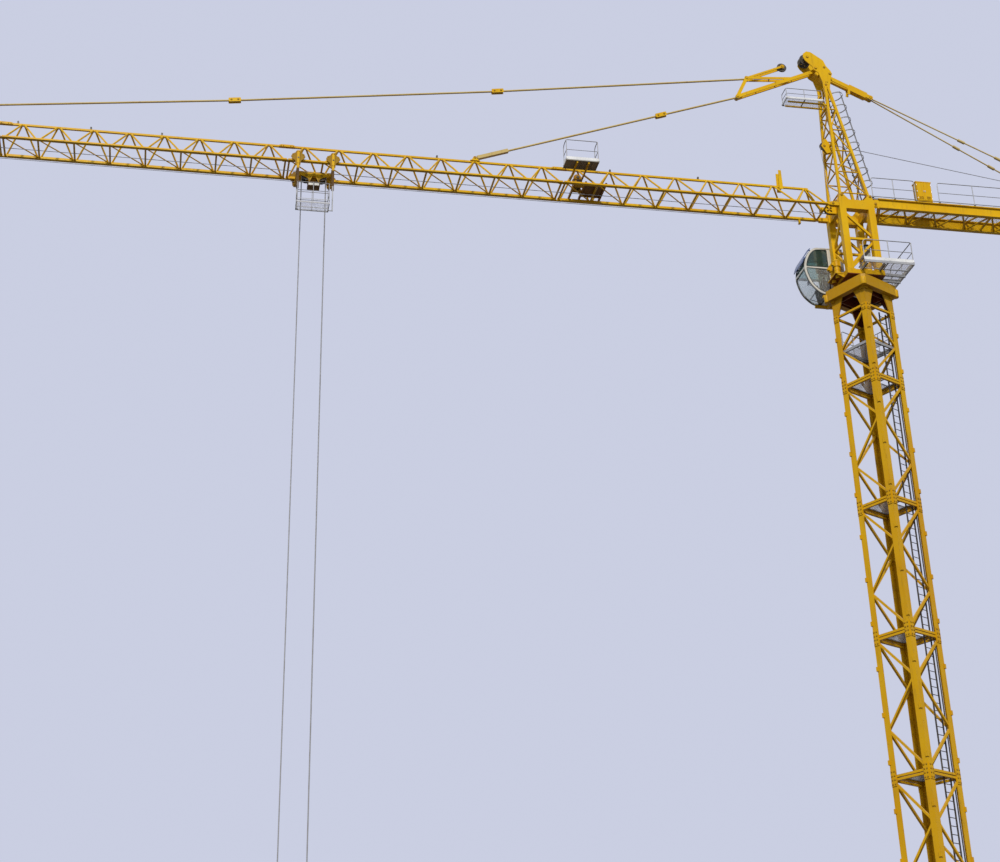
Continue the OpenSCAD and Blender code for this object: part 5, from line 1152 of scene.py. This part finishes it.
def cab_seals():
    s = Shape()
    for low, high in ((0.59, 1.0), (0.0, 0.55)):
        poly = inward(cab_curve(), 0.048)
        poly = clip(clip(clip(poly, 0, CAB_L * 0.4, True), 1, CAB_H * low, True), 1, CAB_H * high, False)
        for d in (-1, 1):
            s.bent([cab_place(q, CAB_Y + d * (CAB_W / 2 - 0.001)) for q in poly + poly[:2]], 0.012, 0.0075, 8, 3)
            if low == 0.59:
                stud = Vector((CAB_L * 0.45, CAB_H * low + 0.05))
                s.tube(cab_place(stud, CAB_Y + d * 0.2625), cab_place(stud, CAB_Y + d * 0.2635), 0.004)
    # seals round the front glazing
    w = (CAB_W - 0.064) / 2
    for low, high, back in ((0.58, 0.955, 0.6), (-0.1, 0.545, 0.45)):
        curve = [q for q in inward(cab_curve(), -0.001) if q.x > CAB_L * back and CAB_H * low < q.y < CAB_H * high]
        pts = [cab_place(q, CAB_Y - w) for q in curve] + [cab_place(q, CAB_Y + w) for q in reversed(curve)]
        s.bent(pts + pts[:2], 0.01, 0.007, 8, 3)
    # window of the door
    x = CAB_X + 0.009
    pts = [Vector((x, CAB_Y + a, CAB_Z + CAB_H * b)) for a, b in ((-0.15, 0.52), (0.15, 0.52), (0.15, 0.88),
        (-0.15, 0.88))]
    s.bent(pts + pts[:2], 0.02, 0.007)
    s.done("cab_seals", RUBBER)


def cab_fittings():
    s = Shape()
    for d in (-1, 1):
        y = CAB_Y + d * (CAB_W / 2 + 0.024)
        s.bent([(-0.15, y - d * 0.026, 18.86), (-0.15, y, 18.86), (-0.15, y, 19.3), (-0.15, y - d * 0.026, 19.3)],
            0.02, 0.006, 10, 5)
    # wiper on the upper front glass
    curve = [q for q in inward(cab_curve(), -0.014) if q.x > CAB_L * 0.9 and CAB_H * 0.585 < q.y < CAB_H * 0.74]
    s.sweep([cab_place(q, CAB_Y - 0.02 + 0.16 * k / max(1, len(curve) - 1)) for k, q in enumerate(curve)], 0.004)
    s.lathe((CAB_X - CAB_L * 1.0 - 0.002, CAB_Y - 0.02, CAB_Z + CAB_H * 0.565), (-1, 0, 0),
        mm(12, -10, 12, 10, 8, 14), 20)
    # ribs on the roof, then strips under the floor
    for k in range(5):
        x = CAB_X - 0.07 - k * 0.095
        s.block(x, CAB_Y, 0.012, 0.235, CAB_Z + CAB_H - 0.001, CAB_Z + CAB_H + 0.006)
    for k in range(3):
        x = CAB_X - 0.08 - k * 0.13
        s.block(x, CAB_Y, 0.03, 0.24, CAB_Z - 0.0004, CAB_Z + 0.0012)
    s.done("cab_fittings", CREAM)


def cushion(name, centre, size, tilt):
    """A crowned pad with rounded corners"""
    s = Shape()
    n, m = 28, 14
    a, b, c = size[0] / 2, size[1] / 2, size[2] / 2
    turn = Matrix.Translation(centre) @ Matrix.Rotation(tilt, 4, "Y")

    def p(u, v):
        cu, su, cv, sv = cos(u), sin(u), cos(v), sin(v)
        cu, su, cv, sv = (copysign(abs(w) ** e, w) for w, e in ((cu, 0.42), (su, 0.42), (cv, 0.62), (sv, 0.62)))
        y = b * cv * su
        # two seams run from front to back
        channel = 1 - 0.1 * exp(-((abs(y) - b * 0.55) / 0.008) ** 2)
        return turn @ Vector((a * cv * cu, y, c * sv * channel))

    s.rings([[p(2 * pi * k / n, -pi / 2 + pi * (j + 0.02) / (m + 0.04)) for k in range(n)] for j in range(m + 1)])
    obj = s.done(name, SEAT, angle=60)


def cab_interior():
    cushion("seat_cushion", (-0.43, CAB_Y, 18.745), (0.27, 0.265, 0.065), radians(4))
    cushion("seat_back", (-0.285, CAB_Y, 18.925), (0.06, 0.25, 0.33), radians(8))
    cushion("seat_headrest", (-0.262, CAB_Y, 19.135), (0.045, 0.15, 0.085), radians(8))
    s = Shape()
    s.lathe((-0.42, CAB_Y, 18.4813), UP, mm(85, 0, 85, 10, 45, 30, 40, 150, 75, 200, 75, 225), 28)
    s.box((-0.55, CAB_Y - 0.12, 18.7), (-0.31, CAB_Y + 0.12, 18.716))
    s.box((-0.252, CAB_Y - 0.1, 18.72), (-0.24, CAB_Y + 0.1, 19.1))
    s.box((-0.32, CAB_Y - 0.1, 18.704), (-0.24, CAB_Y + 0.1, 18.72))
    for y in (CAB_Y - 0.03, CAB_Y + 0.03):
        s.tube((-0.2525, y, 19.08), (-0.2525, y, 19.12), 0.004)
    for d in (-1, 1):
        y = CAB_Y + d * 0.185
        s.prism(mm(-340, 18482, -550, 18482, -600, 18800, -580, 18835, -340, 18815), y - 0.045, y + 0.045)
        s.lathe((-0.545, y, 18.829), UP, mm(20, 0, 19, 8, 8, 20, 6, 55, 12, 62, 15, 85, 10, 100), 20)
        s.box((-0.47, y - 0.035, 18.824), (-0.38, y + 0.035, 18.832))
    # display on its arm, switch panel and the floor's foot rest
    s.bent([(-0.62, 0.925, 18.95), (-0.7, 0.9, 18.95), (-0.72, 0.86, 18.98)], 0.03, 0.006, 8, 4)
    s.box((-0.74, 0.8, 18.94), (-0.725, 0.92, 19.03))
    s.box((-0.5, 0.93, 19.28), (-0.16, 0.9495, 19.4))
    s.tube((-0.72, CAB_Y - 0.22, 18.6), (-0.72, CAB_Y + 0.22, 18.6), 0.009, 10)
    for y in (CAB_Y - 0.22, CAB_Y + 0.22):
        s.tube((-0.56, y, 18.56), (-0.72, y, 18.6), 0.007)
    s.done("cab_interior", RUBBER)


# ---- trolley and hook
def trolley_parts():
    s, tx = Shape(), TROLLEY_X
    for d in (-1, 1):
        for x in (-0.358, 0.358):
            for y, u, w in ((0.4325, 0.016, 0.165), (0.4325, 0.016, -0.12), (0.4012, 0.1, 0.095),
                    (0.4012, 0.115, 0.05)):
                for e in (-u, u):
                    s.bolt((tx + x + e, d * y, J + w), (0, d, 0), 0.0075, 0.007)
    for x in (-0.1587, 0.1587):
        for d in (-1, 1):
            s.lathe((tx + x, d * 0.0965, J - 0.171), (0, d, 0), mm(30, 0, 30, 5, 16, 5.5, 16, 10), 20)
    for d in (-1, 1):
        for u in (-0.11, -0.04, 0.04, 0.11):
            s.bolt((tx + u, d * 0.0962, J - 0.345), (0, d, 0), 0.006, 0.006)
    s.done("trolley_fasteners", PAINTED, "trolley")


def trolley_window_fill():
    """Painted light: pale blocks fill the windows of the stop box, standing in for the sky seen through them"""
    s = Shape()
    for x in (TROLLEY_X - 0.061, TROLLEY_X + 0.061):
        s.rings([front(x - 0.049 + k, x + 0.049 - k, J - 0.4055 + k, J - 0.3505 - k, y)
            for y, k in mm(-94.5, 6, -92.5, 1, 92.5, 1, 94.5, 6)])
    s.done("trolley_slide_blocks", WINDOW_SKY_FILL, "trolley")


def hook_parts():
    s = Shape()
    zh, tx = J - 0.171 - 14.6, TROLLEY_X
    for x in (-0.1587, 0.1587):
        for d in (-1, 1):
            s.lathe((tx + x, d * 0.0965, zh), (0, d, 0), mm(36, 0, 36, 5, 20, 5.5, 20, 9))
    for d in (-1, 1):
        for x, z in mm(-250, 25, 0, 30, 250, 25, -250, -50, 250, -50, -100, -185, 100, -185, 0, -185):
            s.bolt((tx + x, d * 0.0962, zh + z), (0, d, 0), 0.009, 0.009, 0.004)
    s.lathe((tx, 0, zh - 0.3), UP, mm(50, 0, 64, 4, 64, 20, 59, 24), 40)
    s.done("hook_fasteners", BOLTS, "hook")
    # the latch that closes the hook's mouth
    s = Shape()
    s.tube((tx - 0.03, -0.034, zh - 0.375), (tx - 0.03, 0.034, zh - 0.375), 0.01, 16)
    latch = mm(-34, -368, -22, -380, -96, -452, -103, -446)
    s.prism([(tx + x, zh + z) for x, z in latch], -0.016, 0.016)
    s.done("hook_latch", GALV, "hook")


OUTER_PIN, INNER_PIN = Vector((-2.0, 0, HEAD_Z + 0.22)), Vector((-2.25, 0, HEAD_Z - 0.3))
FOOT_Z = JIB_TOP + 0.021 + 0.07
OUTER_FOOT = Vector((-(section_x(4) + 4.5 * PANEL), 0, FOOT_Z))
INNER_FOOT = Vector((-(section_x(2) + 2.5 * PANEL), 0, FOOT_Z))

mast_bolts()
base_fasteners()
ring_bolts()
mast_cable()
tower_fasteners()
head_fasteners()
jib_fasteners()
tie_couplings()
slewing_motors()
trolley_winch_parts()
hoist_winch_parts()
cabinet_parts()
ballast_parts()
cab_seals()
cab_fittings()
cab_interior()
trolley_parts()
trolley_window_fill()
hook_parts()
ring_corners()
gear_motor()


# ---- stage and light
def make_stage():
    mesh = bpy.data.meshes.new("floor")
    r = 90.0
    mesh.from_pydata([(-r, -r, -0.002), (r, -r, -0.002), (r, r, -0.002), (-r, r, -0.002)], [], [(0, 1, 2, 3)])
    floor = bpy.data.objects.new("floor", mesh)
    bpy.context.scene.collection.objects.link(floor)
    s = Shader("floor", (0.2, 0.2, 0.2), rough=0.9)
    # pale to the camera, darker in the light that it throws back
    s.finish(s.mix(s.node("LightPath").outputs["Is Camera Ray"], (0.2, 0.2, 0.2), (0.62, 0.63, 0.65)))
    mesh.materials.append(s.mat)

    world = bpy.data.worlds.new("world")
    bpy.context.scene.world = world
    world.use_nodes = True
    w = Nodes(world.node_tree)
    soft = w.fill(w.tree.nodes["Background"], Color=(0.86, 0.93, 1.0), Strength=0.43)
    shown = w.node("Background", Color=(0.59, 0.62, 0.76), Strength=1.0)
    ray = w.node("LightPath").outputs
    seen = w.math("ADD", ray["Is Camera Ray"], ray["Is Transmission Ray"], clamp=True)
    seen = w.math("ADD", seen, ray["Is Glossy Ray"], clamp=True)
    both = w.node("MixShader", seen, soft.outputs[0], shown.outputs[0])
    w.fill(w.tree.nodes["World Output"], Surface=both.outputs[0])

    sun = bpy.data.lights.new("sun", "SUN")
    sun.energy = 2.7
    sun.angle = radians(6)
    sun.color = (1.0, 0.965, 0.9)
    o = bpy.data.objects.new("sun", sun)
    bpy.context.scene.collection.objects.link(o)
    toward = Vector((0.31, 0.95, -0.72))
    o.rotation_euler = toward.to_track_quat("-Z", "Y").to_euler()


make_stage()
scene = bpy.context.scene
scene.view_settings.view_transform = "Standard"
